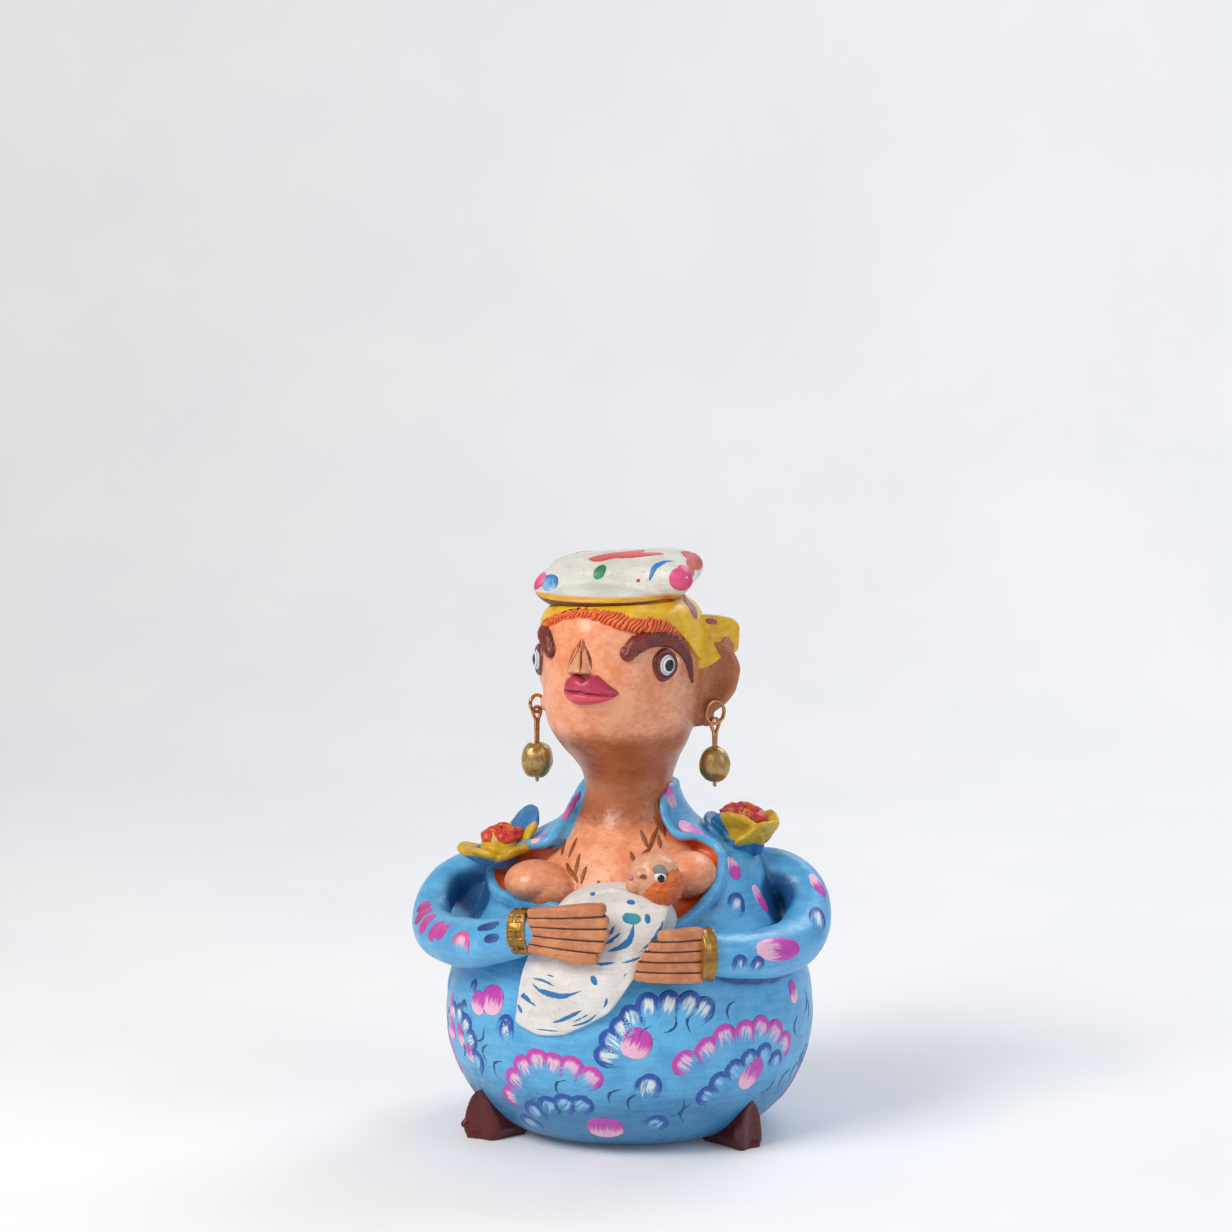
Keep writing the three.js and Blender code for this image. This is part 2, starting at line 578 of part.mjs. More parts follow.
function makeFigure() {
  const dress = makeDress().subtract(makeNecklineHollow());
  const clay = joined([
    dress, makeRim(), makeBust(), makeNecklace(),
    ...Object.values(ARMS).map(makeArm), ...ARMPITS.map(({ at, radii }) => ellipsoid(at, radii, 6)),
    ...Object.values(HANDS).map(makeHand), ...Object.values(CUFFS).map(makeCuff),
    makeBlanket(), makeBaby(), ...SHOES.map(makeShoe),
    ...EYES.map(makeEye), makeBrow(1), makeBrow(-1), makeMouth(), makeNose(),
    makeScarf(), makeHair(), makeCushion(), ...Object.values(EAR_AZIMUTHS).map(makeEar),
    ...Object.values(EARRINGS).map(({ lobe }) => ellipsoid(lobe, LOBE_RADII, 6)), ...ROSES.map(makeRose),
  ]);
  const lobeHole = (earring) => ring(earring, WIRE_RADIUS + WIRE_CLEARANCE, 5, 12);
  return clay.subtract(lobeHole(EARRINGS.left)).subtract(lobeHole(EARRINGS.right));
}

// The drop wire: doubled, looped over the bottom of the hoop, both strands running down through the bead
function makeDropWire({ at, radius, turn, drop }) {
  const eye = 2 * WIRE_RADIUS + WIRE_CLEARANCE;
  const length = drop + BEAD.height + 0.6;
  const twisted = (side, depth) => {
    const turned = radians(STRAND_TWIST) * (depth / length);
    const away = side * WIRE_RADIUS * 0.94;
    return [away * Math.cos(turned), away * Math.sin(turned), -depth];
  };
  const strand = (side) => [
    twisted(side, length), twisted(side, length / 2), twisted(side, eye + 1.2),
    [side * eye * 0.75, 0, -eye * 0.8], [side * eye, 0, 0], [side * eye * 0.7, 0, eye * 0.7],
  ];
  const points = [...strand(-1), [0, 0, eye], ...strand(1).reverse()];
  const wire = rope(path3(points), () => WIRE_RADIUS, 4, 20);
  return wire.rotate([0, 0, turn + 90]).translate([at[0], at[1], at[2] - radius]);
}

// The bead: a small lump of clay between a ball and a cube, bored through for the wire
function makeBead({ at: [x, y, z], radius, drop, squareness }) {
  const top = z - radius - drop;
  const bead = closedSurface((angle, v) => {
    const [c, s] = [Math.abs(Math.cos(angle)), Math.abs(Math.sin(angle))];
    const square = (c ** squareness + s ** squareness) ** (-1 / squareness);
    const spread = Math.sin(Math.PI * v) ** (2 / squareness) * square * (BEAD.width / 2);
    const down = BEAD.height * (1 - Math.cos(Math.PI * v)) / 2;
    return new THREE.Vector3(x + spread * Math.cos(angle), y + spread * Math.sin(angle), top - down);
  }, 10, 5);
  const bore = new THREE.CylinderGeometry(BEAD.bore, BEAD.bore, BEAD.height * 3, 6).rotateX(Math.PI / 2);
  return bead.subtract(solid(bore.translate(x, y, top)));
}

const CLAY = new THREE.MeshStandardMaterial({ color: 0x5aaad7, roughness: 0.4, metalness: 0 });
const WIRE = new THREE.MeshStandardMaterial({ color: 0x9a6238, roughness: 0.35, metalness: 1 });
const GILT_CLAY = new THREE.MeshStandardMaterial({ color: 0x8a6a3c, roughness: 0.45, metalness: 0.6 });

function toMesh(name, shape, material) {
  const { vertProperties, triVerts } = shape.getMesh();
  const geometry = new THREE.BufferGeometry();
  geometry.setAttribute('position', new THREE.BufferAttribute(vertProperties, 3));
  geometry.setIndex(new THREE.BufferAttribute(triVerts, 1));
  const mesh = new THREE.Mesh(geometry, material);
  mesh.name = name;
  return mesh;
}

const group = new THREE.Group();
group.add(toMesh('clay_figure', makeFigure(), CLAY));
for (const [side, earring] of Object.entries(EARRINGS)) {
  group.add(toMesh(`${side}_ear_hoop`, ring(earring, WIRE_RADIUS, 5, 12), WIRE));
  group.add(toMesh(`${side}_drop_wire`, makeDropWire(earring), WIRE));
  group.add(toMesh(`${side}_bead`, makeBead(earring), GILT_CLAY));
}

export default group;
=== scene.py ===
"""Clay folk figurine: the painted, hand-modelled surfaces of a pot-bodied mother nursing a baby.

Shapes are worked out in millimetres and put into the meshes in metres. The figure faces -Y, its left
side is +X, and an azimuth of 0 degrees is its front.
"""

import json

import bpy
import numpy as np
from bpy.props import FloatProperty, FloatVectorProperty, IntProperty, PointerProperty
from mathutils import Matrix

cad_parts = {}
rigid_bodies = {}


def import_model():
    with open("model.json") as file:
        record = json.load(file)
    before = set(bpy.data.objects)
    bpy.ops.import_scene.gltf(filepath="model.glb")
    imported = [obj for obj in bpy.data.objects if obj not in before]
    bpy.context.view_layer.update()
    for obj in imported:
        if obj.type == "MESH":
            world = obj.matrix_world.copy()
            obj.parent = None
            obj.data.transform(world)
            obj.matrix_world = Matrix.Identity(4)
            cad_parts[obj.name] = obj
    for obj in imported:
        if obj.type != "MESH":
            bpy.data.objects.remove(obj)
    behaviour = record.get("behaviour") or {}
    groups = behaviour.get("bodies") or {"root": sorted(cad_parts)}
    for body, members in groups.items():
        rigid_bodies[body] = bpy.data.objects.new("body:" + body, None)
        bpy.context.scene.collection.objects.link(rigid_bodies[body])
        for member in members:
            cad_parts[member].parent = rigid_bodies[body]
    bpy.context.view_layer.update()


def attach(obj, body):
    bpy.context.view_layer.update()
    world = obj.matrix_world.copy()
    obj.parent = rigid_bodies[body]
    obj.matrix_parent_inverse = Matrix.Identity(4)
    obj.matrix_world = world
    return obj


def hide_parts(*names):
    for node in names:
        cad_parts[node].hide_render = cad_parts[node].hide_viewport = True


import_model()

bl_info = {
    "name": "Clay folk figurine",
    "version": (1, 0, 0),
    "blender": (4, 5, 0),
    "location": "3D View > Sidebar > Figurine",
    "description": "Models and paints a small clay figure of a nursing mother with wire earrings",
    "category": "Add Mesh",
}

MM = 1000.0                     # millimetres in a metre

# Dress: a pot drawn in to sloping shoulders and a collar, as radius and height
BASE_RADIUS = 20.0
POT_RADIUS = 40.4
POT_WIDEST_Z = 26.0
SHOULDER_OUTLINE = [
    (POT_RADIUS, POT_WIDEST_Z), (39.6, 33), (37, 40), (33.8, 46), (31.6, 51), (30.2, 56), (27, 60.5),
    (20.5, 64.5), (15.5, 67.5), (12.2, 71.5), (10.4, 76),
]
CHEST_FLATNESS = 0.2
COLLAR_TOP_Z = 76.0

# Neckline, as azimuth and height, from the figure's left round the V to its right
NECKLINE = [
    (56, 78), (48, 73), (41, 69.5), (42, 65.8), (57, 65), (59, 62), (46, 57), (35, 52), (20, 48.5),
    (-5, 48.5), (-26, 52), (-45, 52), (-63, 52.8), (-79, 55), (-77, 59.2), (-61, 62.4), (-48, 64),
    (-62, 67.5), (-84, 71.5), (-96, 78),
]
NECKLINE_GIRTH = 29.0           # radius by which an azimuth there becomes a length
COLLAR_BACK = [-110, -150, -190, -230, -270]

# Neck, head and chest: one gourd-like form, radius and height
BUST_OUTLINE = [
    (22, 46), (21, 54), (18, 60), (13.6, 65), (10.8, 69), (9.6, 73), (9.7, 77), (11.4, 81), (14.2, 85),
    (16.4, 89.5), (17.6, 95), (18, 101), (17.7, 107), (17, 111.5), (15.4, 114.6), (12.4, 116.6),
]
CROWN_Z = 116.6
BUST_Y = -2.0
FACE_TURN = -17.0
FACE_STRETCH = 1.19
FACE_NARROWING = 0.915
FACE_FORWARD = 3.0
FACE_GIRTH = 22.0               # radius by which an azimuth on the face becomes a length
SNOUT = 1.6
BREASTS = [
    ((-18.0, -17.5, 56.2), (6.8, 7.2, 4.6)), ((-14.4, -18.8, 54.0), (5.4, 5.4, 5.2)),
    ((14.8, -15.6, 58.0), (6.2, 6.6, 5.2)),
]

# Face, as azimuth and height on the head
MOUTH_AZIMUTH = -5.0
MOUTH_LINE_Z = 99.0
LIPS = [
    (-28.5, 98.9), (-25.5, 101.2), (-19, 102.3), (-13.5, 101.9), (-10.5, 101.4), (-7.5, 102), (-2, 102.3),
    (5, 100.6), (13.5, 98.4), (6, 96.9), (-6, 96), (-18, 96), (-25.5, 97),
]
NOSE = {"azimuth": -16.5, "base_z": 102.9, "apex_z": 109.2, "half_face": 2.3, "half_base": 4.1, "height": 3.0}
EYES = {"left": (44.0, 103.7), "right": (-73.0, 103.6)}
EYE_SOCKET = 3.2
BROW_ARC = [(-26, 3), (-19, 4.9), (-7, 5.9), (9, 4.8), (21, 1), (28, -4.6)]
EYE_RINGS = ((1.34, "#dfe3e6"), (1.72, "#a3adb5"), (1.98, "#ccd3d8"), (2.25, "#6b231b"))

# Ears, as distance from the head's axis and height
EAR_OUTLINE = [
    (13, 104), (20.5, 106.3), (24.2, 102), (24, 97), (22, 93.4), (17.8, 90.2), (15.8, 87.8), (13, 90),
]
EAR_AZIMUTHS = (101.0, -118.0)
EAR_THICKNESS = 3.6
LOBES = [(16.8, 0.2, 90.0), (-19.2, 7.0, 91.6)]
LOBE_RADII = (1.7, 1.9, 2.2)

# Headscarf, the hair below it and the cushion on top
SCARF_EDGE = {"mean": 104.9, "swing": 10.6, "nape_drop": 5.6, "lift": 2.8}
SCARF_THICKNESS = 1.1
FLAP_OUTLINE = [
    (9, 112.5), (16.4, 112.6), (21.4, 111.4), (23.2, 109.4), (23.2, 104.4), (20.8, 103.2), (17.2, 101.4),
    (15, 101.2), (10, 104.5),
]
FLAP_THICKNESS = 2.0
HAIR_SPAN = (-70.0, 79.0)
CUSHION_HALF = (17.6, 11.5)
CUSHION_RISE = (5.2, 5.4)       # above and below its seam
CUSHION_AT = (-1.9, -2.4, 120.7)
CUSHION_TILT = (4.5, -4.0, -2.0)
CUSHION_FOOT = ((-4.2, -5.4, 117.0), (14.6, 16.6, 3.4))

# Arms, hands and cuffs
ARM_RIGHT = [
    (-23, 4, 54.5), (-32, 3, 55), (-39.6, -1, 52.6), (-42, -9.5, 48), (-39.4, -18.5, 44.6), (-30, -29, 44.6),
    (-22, -34.5, 47), (-15.8, -37.4, 49.4),
]
ARM_RIGHT_RADII = [5.4, 4.9, 4.2, 4.1, 5.0, 5.4, 4.9, 4.4]
ARM_LEFT = [
    (23, 4, 55.2), (32, 3.8, 55.4), (37.8, 1.5, 52.2), (39.4, -5, 46.8), (37.2, -14, 43.4), (31.5, -24, 43),
    (25.5, -31, 44), (21.5, -34.5, 45),
]
ARM_LEFT_RADII = [5.6, 5.2, 4.9, 5.2, 5.5, 5.4, 4.9, 4.4]
ARMPITS = [((-34.4, 1.5, 48.8), (7.6, 4, 7.8)), ((31, 5, 50.5), (6, 4.5, 7))]
ARM_PITS = [(-33.5, -6, 50), (31.5, -2, 50)]    # middles of the shadowed hollows inside the arms
HANDS = {
    "right": {
        "wrist": (-15.0, -40.2, 50.2), "tips": (0.2, -42.2, 50.2), "spread": 7.4, "splay": 3.0, "slant": 1.6,
    },
    "left": {
        "wrist": (19.4, -37.6, 45.4), "tips": (9.0, -41.0, 45.6), "spread": 9.2, "splay": -0.6, "slant": 5.0,
    },
}
CUFFS = {
    "right": {"at": (-17.2, -38.0, 49.5), "axis": (1.0, -0.36, 0.08), "radii": (5.0, 4.4), "dents": 9},
    "left": {"at": (20.6, -35.9, 45.2), "axis": (1.0, 0.5, -0.02), "radii": (5.8, 4.6), "dents": 0},
}

# Blanket, as across and height, and the baby
BLANKET_OUTLINE = [
    (1.4, 58.4), (13.6, 54.4), (9.8, 45), (1, 33), (-8.5, 28.2), (-15, 27.4), (-20.6, 29.6), (-19.4, 38.6),
    (-17.2, 45), (-9.1, 55.6),
]
BLANKET_THICKNESS = 1.4
BABY_HEAD = ((9.2, -29.8, 60.2), (5.5, 5.3, 5.3))
BABY_NOSE = ((7.0, -34.3, 61.6), (1.2, 1.1, 1.0))
BABY_CHEEK = ((5.6, -31.6, 58.8), (2.2, 2.2, 2.0))
BABY_BODY = ((0.6, -26, 50), (13, 9, 8))
BABY_HAIR = ((10.7, -30.2, 58.7), (4.9, 5.2, 4.9))

# Shoe tips, as three corners on the ground and the point they are drawn up to
SHOES = {
    "right": ([(-33.6, -20), (-26, -22.8), (-18.6, -14.5)], (-29.6, -22.9, 11.4)),
    "left": ([(31, -18.2), (15.6, -14.4), (26.4, -23.4)], (29.6, -22.2, 10.8)),
}
SHOE_KNOB = ((-33.2, -20.4, 3.0), (1.0, 1.0, 0.9))

# Roses on the shoulders: foot, tilt in degrees, petals as azimuth, length, width, lift and cup, and the
# crumpled heart's middle and radii
ROSES = {
    "left": {
        "at": (24.6, 0, 60.4), "tilt": (8, 4, 0),
        "petals": [
            (-112, 4.2, 11.5, 11.0, -2.0), (-38, 6.6, 10.0, 9.2, -1.4), (176, 7.4, 9.6, 7.2, -0.5),
            (28, 6.6, 8.6, 8.4, -0.8), (95, 5.4, 9.0, 9.4, -1.0),
        ],
        "heart": ((-0.2, 0.6, 8.0), (4.7, 3.3, 2.6)), "blue": 3.8,
    },
    "right": {
        "at": (-27.2, -5.8, 58.2), "tilt": (12, -6, 0),
        "petals": [
            (175, 8.6, 6.4, 2.4, 1.0), (-128, 6.0, 7.2, 4.6, -0.4), (-48, 7.4, 7.4, 5.0, -0.6),
            (100, 5.0, 7.4, 4.6, -0.4), (32, 8.4, 9.0, 8.6, 0.3),
        ],
        "heart": ((0.8, -0.4, 6.0), (4.4, 3.0, 2.3)), "blue": 2.6,
    },
}

# Earrings: wire 0.8 mm thick
WIRE_RADIUS = 0.4
EARRINGS = {
    "left": {"at": (18.8, -1, 91.2), "radius": 2.5, "turn": -45, "lean": 40, "drop": 5, "squareness": 2.2},
    "right": {"at": (-21.5, 6, 91.4), "radius": 1.85, "turn": -42, "lean": 0, "drop": 6.8, "squareness": 3.2},
}
STRAND_TWIST = 55.0
BEAD = {"width": 6.7, "height": 7.8, "bore": 1.15}

# Painted pattern on the pot, as azimuth and height: the petals' tips, the point they aim at, their
# length and width in millimetres, and their two colours
MAGENTA = "#c040ae"
COBALT = "#1c4fa6"
TEAL = "#0f4f78"
PALE_PINK = "#efb9d6"
CHALK = "#dfe6e6"
PALE_BLUE = "#8ec4ea"
PINK = (MAGENTA, PALE_PINK)
BLUE = (COBALT, CHALK)
ORCHID = ("#c23f9a", "#d060b0")
RASPBERRY = ("#b0307f", "#d060b0")
RUST = ("#8c4a52", "#a8645a")
SCARLET = ("#c93428", "#d8584a")
ROSE = ("#d8457a", "#e88aa8")
AZURE = ("#2a7cc0", "#8fc2e6")
CERISE = ("#d2306c", "#dc5a8c")
POPPY = ("#cf3a3a", "#dc5a50")
NAVY = ("#1f3f80", "#2f6cb0")
POT_GIRTH = 39.0                 # radius by which an azimuth on the pot becomes a length
FRONT_FANS = [
    ([(-38.5, 12.5), (-33.5, 18.3), (-28, 22.4), (-21.5, 24.6), (-15, 24.1), (-8, 23.4), (-1, 20.8)],
     (-19, 11), 7.0, 5.6, *PINK),
    ([(-34.5, 7.7), (-26.5, 12.1), (-18.5, 13.8), (-11.5, 14.5), (-5, 14.3)],
     (-25.5, 1.6), 6.4, 5.2, COBALT, PALE_BLUE),
    ([(-3, 24.8), (-1, 28.8), (3, 32.1), (7, 34.7), (13.5, 37.2), (21.5, 37.3), (29, 36.7), (34, 35)],
     (13, 22.1), 7.6, 5.2, *BLUE),
    ([(21, 23.5), (29, 26.7), (36.5, 29.6), (46, 29.8), (53.5, 29.8), (61, 27.5), (66.5, 23.7)],
     (41.5, 15.2), 7.0, 5.8, *PINK),
    ([(29.5, 15.1), (33.5, 18.3), (39, 21), (45, 23.1), (52, 24), (59, 21.8)],
     (60, 6.8), 6.0, 4.8, COBALT, PALE_BLUE),
]
LONE_PETALS = [
    ((14.5, 20.1), (12, 12.5), 5.6, *BLUE), ((19.5, 9.8), (12.5, 5.5), 5.4, COBALT, PALE_BLUE),
    ((-46, 20.8), (-51.5, 14.8), 5.0, COBALT, PALE_BLUE), ((-33.5, 29.4), (-31.5, 23.4), 4.4, *BLUE),
    ((-55, 31.1), (-54, 27.6), 2.6, TEAL, PALE_BLUE), ((-50, 36), (-51, 31.5), 2.6, COBALT, PALE_BLUE),
]
PINK_BLOBS = [
    ((-1, 9.6), (-1, 4.2), 6.4), ((-39.5, 36), (-39.5, 29.6), 5.4), ((70, 35.3), (70, 30.3), 2.9),
    ((11.5, 29.9), (7.5, 23.7), 5.8), ((51.5, 21), (46, 14.4), 4.6), ((-57.5, 25.8), (-56, 20.6), 2.6),
    ((-65.5, 30.8), (-64, 26), 2.6), ((-52.5, 22), (-50.5, 17.6), 2.4),
]
CRESCENTS = [
    (-45, 25.1), (-52.5, 25.4), (-41, 20.9), (-36.5, 18), (-13, 16), (19.5, 30.8), (28, 30.4), (41.5, 31.8),
    (4, 14.6), (10, 13.4), (23, 11.8), (28, 10.3), (-25, 10.5), (-14, 12), (13.5, 28), (78, 29.5),
    (71.5, 25.2), (80.5, 16.8), (76, 14.6), (69, 13.7), (58.5, 14),
]


def linear(code):
    """An sRGB hex colour as linear red, green, blue and full opacity."""
    share = np.array([int(code[i:i + 2], 16) for i in (1, 3, 5)]) / 255
    value = np.where(share <= 0.04045, share / 12.92, ((share + 0.055) / 1.055) ** 2.4)
    return (*value.tolist(), 1.0)


def smooth(x, low, high):
    """0 below low, 1 above high, and an S between them."""
    t = np.clip((np.asarray(x, float) - low) / (high - low), 0, 1)
    return t * t * (3 - 2 * t)


def unit(vectors):
    """The same directions, one long."""
    vectors = np.asarray(vectors, float)
    return vectors / np.maximum(np.linalg.norm(vectors, axis=-1, keepdims=True), 1e-9)


def turned(points, degrees):
    """Points turned about X, then Y, then Z."""
    a, b, c = np.radians(degrees)
    about_x = np.array([(1, 0, 0), (0, np.cos(a), -np.sin(a)), (0, np.sin(a), np.cos(a))])
    about_y = np.array([(np.cos(b), 0, np.sin(b)), (0, 1, 0), (-np.sin(b), 0, np.cos(b))])
    about_z = np.array([(np.cos(c), -np.sin(c), 0), (np.sin(c), np.cos(c), 0), (0, 0, 1)])
    return points @ (about_z @ about_y @ about_x).T


def evenly(curve, count, closed=False):
    """A curve read again at even steps of its length."""
    if closed:
        curve = np.vstack([curve, curve[:1]])
    length = np.concatenate([[0], np.cumsum(np.linalg.norm(np.diff(curve, axis=0), axis=1))])
    at = np.linspace(0, length[-1], count, endpoint=not closed)
    return np.stack([np.interp(at, length, curve[:, k]) for k in range(curve.shape[1])], axis=1)


def spline(points, count, closed=False, tension=0.5):
    """A Hermite cubic through the points. At each point it runs along the line that joins the two
    neighbours, tension times as fast as that line is long."""
    p = np.asarray(points, float)
    if closed:
        p = np.vstack([p[-1:], p, p[:2]])
    else:
        p = np.vstack([2 * p[:1] - p[1:2], p, 2 * p[-1:] - p[-2:-1]])
    spans = len(p) - 3
    t = np.linspace(0, spans, spans * 24 + 1)
    i = np.minimum(t.astype(int), spans - 1)
    f = (t - i)[:, None]
    a, b, c, d = p[i], p[i + 1], p[i + 2], p[i + 3]
    curve = (2 * f**3 - 3 * f**2 + 1) * b + (f**3 - 2 * f**2 + f) * tension * (c - a)
    curve += (3 * f**2 - 2 * f**3) * c + (f**3 - f**2) * tension * (d - b)
    return evenly(curve[:-1] if closed else curve, count, closed)


def noise(points, size, seed=0):
    """Soft random lumps about size wide, from -1 to 1: a random value at every corner of a grid of
    cubes, blended along each axis by a smooth step."""
    p = np.asarray(points, float) / size
    cell = np.floor(p).astype(np.int64)
    f = p - cell
    f = f * f * (3 - 2 * f)
    total = np.zeros(p.shape[:-1])
    for corner in np.ndindex(2, 2, 2):
        x, y, z = np.moveaxis(cell + corner, -1, 0)
        mixed = (x * 374761393 + y * 668265263 + z * 2147483647 + seed * 974634777) & 0xFFFFFFFF
        mixed = ((mixed ^ (mixed >> 13)) * 1274126177) & 0xFFFFFFFF
        mixed = ((mixed ^ (mixed >> 16)) * 2246822519) & 0xFFFFFFFF
        weight = np.prod(np.where(corner, f, 1 - f), axis=-1)
        total += weight * ((mixed >> 8) % 65536 / 32768 - 1)
    return total


def distance_inside(x, y, loop):
    """How far inside a closed outline each point lies, and less than 0 outside: the distance to the
    nearest of its sides, signed by how often a ray along X crosses them."""
    x, y = np.broadcast_arrays(x, y)
    nearest = np.full(x.shape, np.inf)
    inside = np.zeros(x.shape, bool)
    for (ax, ay), (bx, by) in zip(loop, np.roll(loop, -1, axis=0)):
        length = (bx - ax) ** 2 + (by - ay) ** 2
        share = np.clip(((x - ax) * (bx - ax) + (y - ay) * (by - ay)) / max(length, 1e-9), 0, 1)
        nearest = np.minimum(nearest, np.hypot(x - ax - share * (bx - ax), y - ay - share * (by - ay)))
        crosses = (ay > y) != (by > y)
        inside ^= crosses & (x < ax + (y - ay) * (bx - ax) / (by - ay + 1e-12))
    return np.where(inside, nearest, -nearest)


# Shapes. A shape is its points, its four-sided and three-sided faces, and one number for each point
# that a material can read.


def shape_of(points, quads, triangles, tags=None):
    """A shape with its faces turned outwards, which a positive volume shows."""
    halves = np.concatenate([quads[:, [0, 1, 2]], quads[:, [0, 2, 3]], triangles])
    a, b, c = points[halves[:, 0]], points[halves[:, 1]], points[halves[:, 2]]
    if np.sum(a * np.cross(b, c)) < 0:
        quads, triangles = quads[:, ::-1], triangles[:, ::-1]
    return points, quads, triangles, np.zeros(len(points)) if tags is None else tags


def closed_grid(rings, tags=None, looped=False):
    """A closed shape from rings of points: neighbours on and between rings make quads. Its two ends
    are closed with triangles round the middle of the end rings, or its rings loop back to the first."""
    count, around = rings.shape[:2]
    points = rings.reshape(-1, 3)
    tags = np.zeros(rings.shape[:2]) if tags is None else np.broadcast_to(tags, rings.shape[:2])
    index = np.arange(count * around).reshape(count, around)
    beside = np.roll(index, -1, axis=1)
    if looped:
        after = np.roll(index, -1, axis=0)
        quads = np.stack([index, beside, np.roll(after, -1, axis=1), after], axis=-1).reshape(-1, 4)
        return shape_of(points, quads, np.zeros((0, 3), int), tags.ravel())
    quads = np.stack([index[:-1], beside[:-1], beside[1:], index[1:]], axis=-1).reshape(-1, 4)
    ends = np.stack([rings[0].mean(axis=0), rings[-1].mean(axis=0)])
    first = np.full(around, count * around)
    top = np.stack([beside[0], index[0], first], axis=-1)
    bottom = np.stack([index[-1], beside[-1], first + 1], axis=-1)
    tags = np.concatenate([tags.ravel(), [tags[0].mean(), tags[-1].mean()]])
    return shape_of(np.vstack([points, ends]), quads, np.concatenate([top, bottom]), tags)


def joined(shapes):
    """Several shapes as one, overlapping where they do."""
    starts = np.concatenate([[0], np.cumsum([len(s[0]) for s in shapes])])[:-1]
    points = np.vstack([s[0] for s in shapes])
    quads = np.vstack([s[1] + start for s, start in zip(shapes, starts)])
    triangles = np.vstack([s[2] + start for s, start in zip(shapes, starts)])
    return points, quads, triangles, np.concatenate([s[3] for s in shapes])


def rumpled(shape, amount, size, seed):
    """A shape with every point moved by soft noise, so that no face stays quite true."""
    points, quads, triangles, tags = shape
    shift = np.stack([noise(points, size, seed + k) for k in range(3)], axis=-1)
    return points + amount * shift, quads, triangles, tags


def scratched(shape, path, sides, spacing, slant, depth):
    """A rope with hairs scratched across it: the distance along the path, slanted from one side to
    the other, repeats a narrow groove. The grooves' depth becomes the shape's number."""
    points, quads, triangles, _ = shape
    middle = np.repeat(np.vstack([path[:1]] * 4 + [path] + [path[-1:]] * 4), sides, 0)
    run = np.concatenate([[0], np.cumsum(np.linalg.norm(np.diff(path, axis=0), axis=1))])
    along = np.repeat(np.concatenate([run[:1].repeat(4), run, run[-1:].repeat(4)]), sides)
    around = np.tile(np.linspace(0, 2 * np.pi, sides, endpoint=False), len(path) + 8)
    stray = 0.6 * noise(np.stack([along, 2 * np.cos(around), 0 * along], axis=-1), 1.4, 5)
    place = (along + slant * np.cos(around) + stray) / spacing
    groove = np.exp(-(((place - np.round(place)) / 0.17) ** 2)) * depth
    body = points[:len(middle)]
    points[:len(middle)] = body - unit(body - middle) * groove[:, None]
    return points, quads, triangles, np.concatenate([groove, [0.0, 0.0]])


def ellipsoid(at, radii, around=64):
    """A ball stretched to three radii: rings of sine and cosine from pole to pole."""
    v = np.linspace(0.03, 0.97, around // 2)[:, None] * np.pi
    a = np.linspace(0, 2 * np.pi, around, endpoint=False)[None]
    ball = np.stack([np.sin(v) * np.cos(a), np.sin(v) * np.sin(a), np.cos(v) + 0 * a], axis=-1)
    return closed_grid(ball * radii + np.array(at, float))


def rope(path, radius, sides=32, reference=(0, 0, 1), flatness=1.0, power=2.0, looped=False):
    """A round strip of clay along a path: a ring square to each point, its sides set out from the
    reference direction. Flatness is its height for its width, and a power over 2 makes it squarer.
    Open ends are rounded by four rings that shrink as a quarter circle."""
    path = np.asarray(path, float)
    radius = np.broadcast_to(np.asarray(radius, float), len(path))
    reference = np.broadcast_to(np.asarray(reference, float), path.shape)
    if looped:
        tangent = np.roll(path, -1, axis=0) - np.roll(path, 1, axis=0)
    else:
        bend = np.radians([82, 62, 42, 21])
        tangent = np.gradient(path, axis=0)
        first, last = unit(tangent[:1]), unit(tangent[-1:])
        start = path[:1] - first * (radius[0] * np.sin(bend))[:, None]
        stop = path[-1:] + last * (radius[-1] * np.sin(bend[::-1]))[:, None]
        tangent = np.vstack([np.repeat(first, 4, 0), tangent, np.repeat(last, 4, 0)])
        reference = np.vstack([np.repeat(reference[:1], 4, 0), reference, np.repeat(reference[-1:], 4, 0)])
        path = np.vstack([start, path, stop])
        radius = np.concatenate([radius[0] * np.cos(bend), radius, radius[-1] * np.cos(bend[::-1])])
    tangent = unit(tangent)
    side = unit(np.cross(tangent, reference))
    up = np.cross(side, tangent)
    a = np.linspace(0, 2 * np.pi, sides, endpoint=False)
    c, s = np.cos(a), np.sin(a)
    fit = (np.abs(c) ** power + np.abs(s) ** power) ** (-1 / power)
    ring = (c * fit)[None, :, None] * side[:, None] + (flatness * s * fit)[None, :, None] * up[:, None]
    return closed_grid(path[:, None] + radius[:, None, None] * ring, looped=looped)


def pad(outline, front, back, place, around=120, along=44, tension=0.5, relief=None):
    """A flat lump of clay. Rings shrink from the outline to its middle by the root of a sine while
    the height runs as a cosine from front to -back, and place sets each point. The relief of
    (x, y, share) is added to the front's height."""
    edge = spline(outline, around, closed=True, tension=tension)
    middle = np.mean(np.asarray(outline, float), axis=0)
    v = np.linspace(0.012, 0.988, along)[:, None] * np.pi
    share = np.sqrt(np.sin(v))
    flat = middle + share[..., None] * (edge - middle)
    rise = np.cos(v) + np.zeros(around)
    height = np.where(rise > 0, rise * front, rise * back)
    if relief is not None:
        height = height + smooth(rise, -0.1, 0.4) * relief(flat[..., 0], flat[..., 1], share)
    return closed_grid(place(flat[..., 0], flat[..., 1], height))


# The two carrying surfaces


SHOULDER = spline(SHOULDER_OUTLINE, 200)
BUST = spline(BUST_OUTLINE, 240)


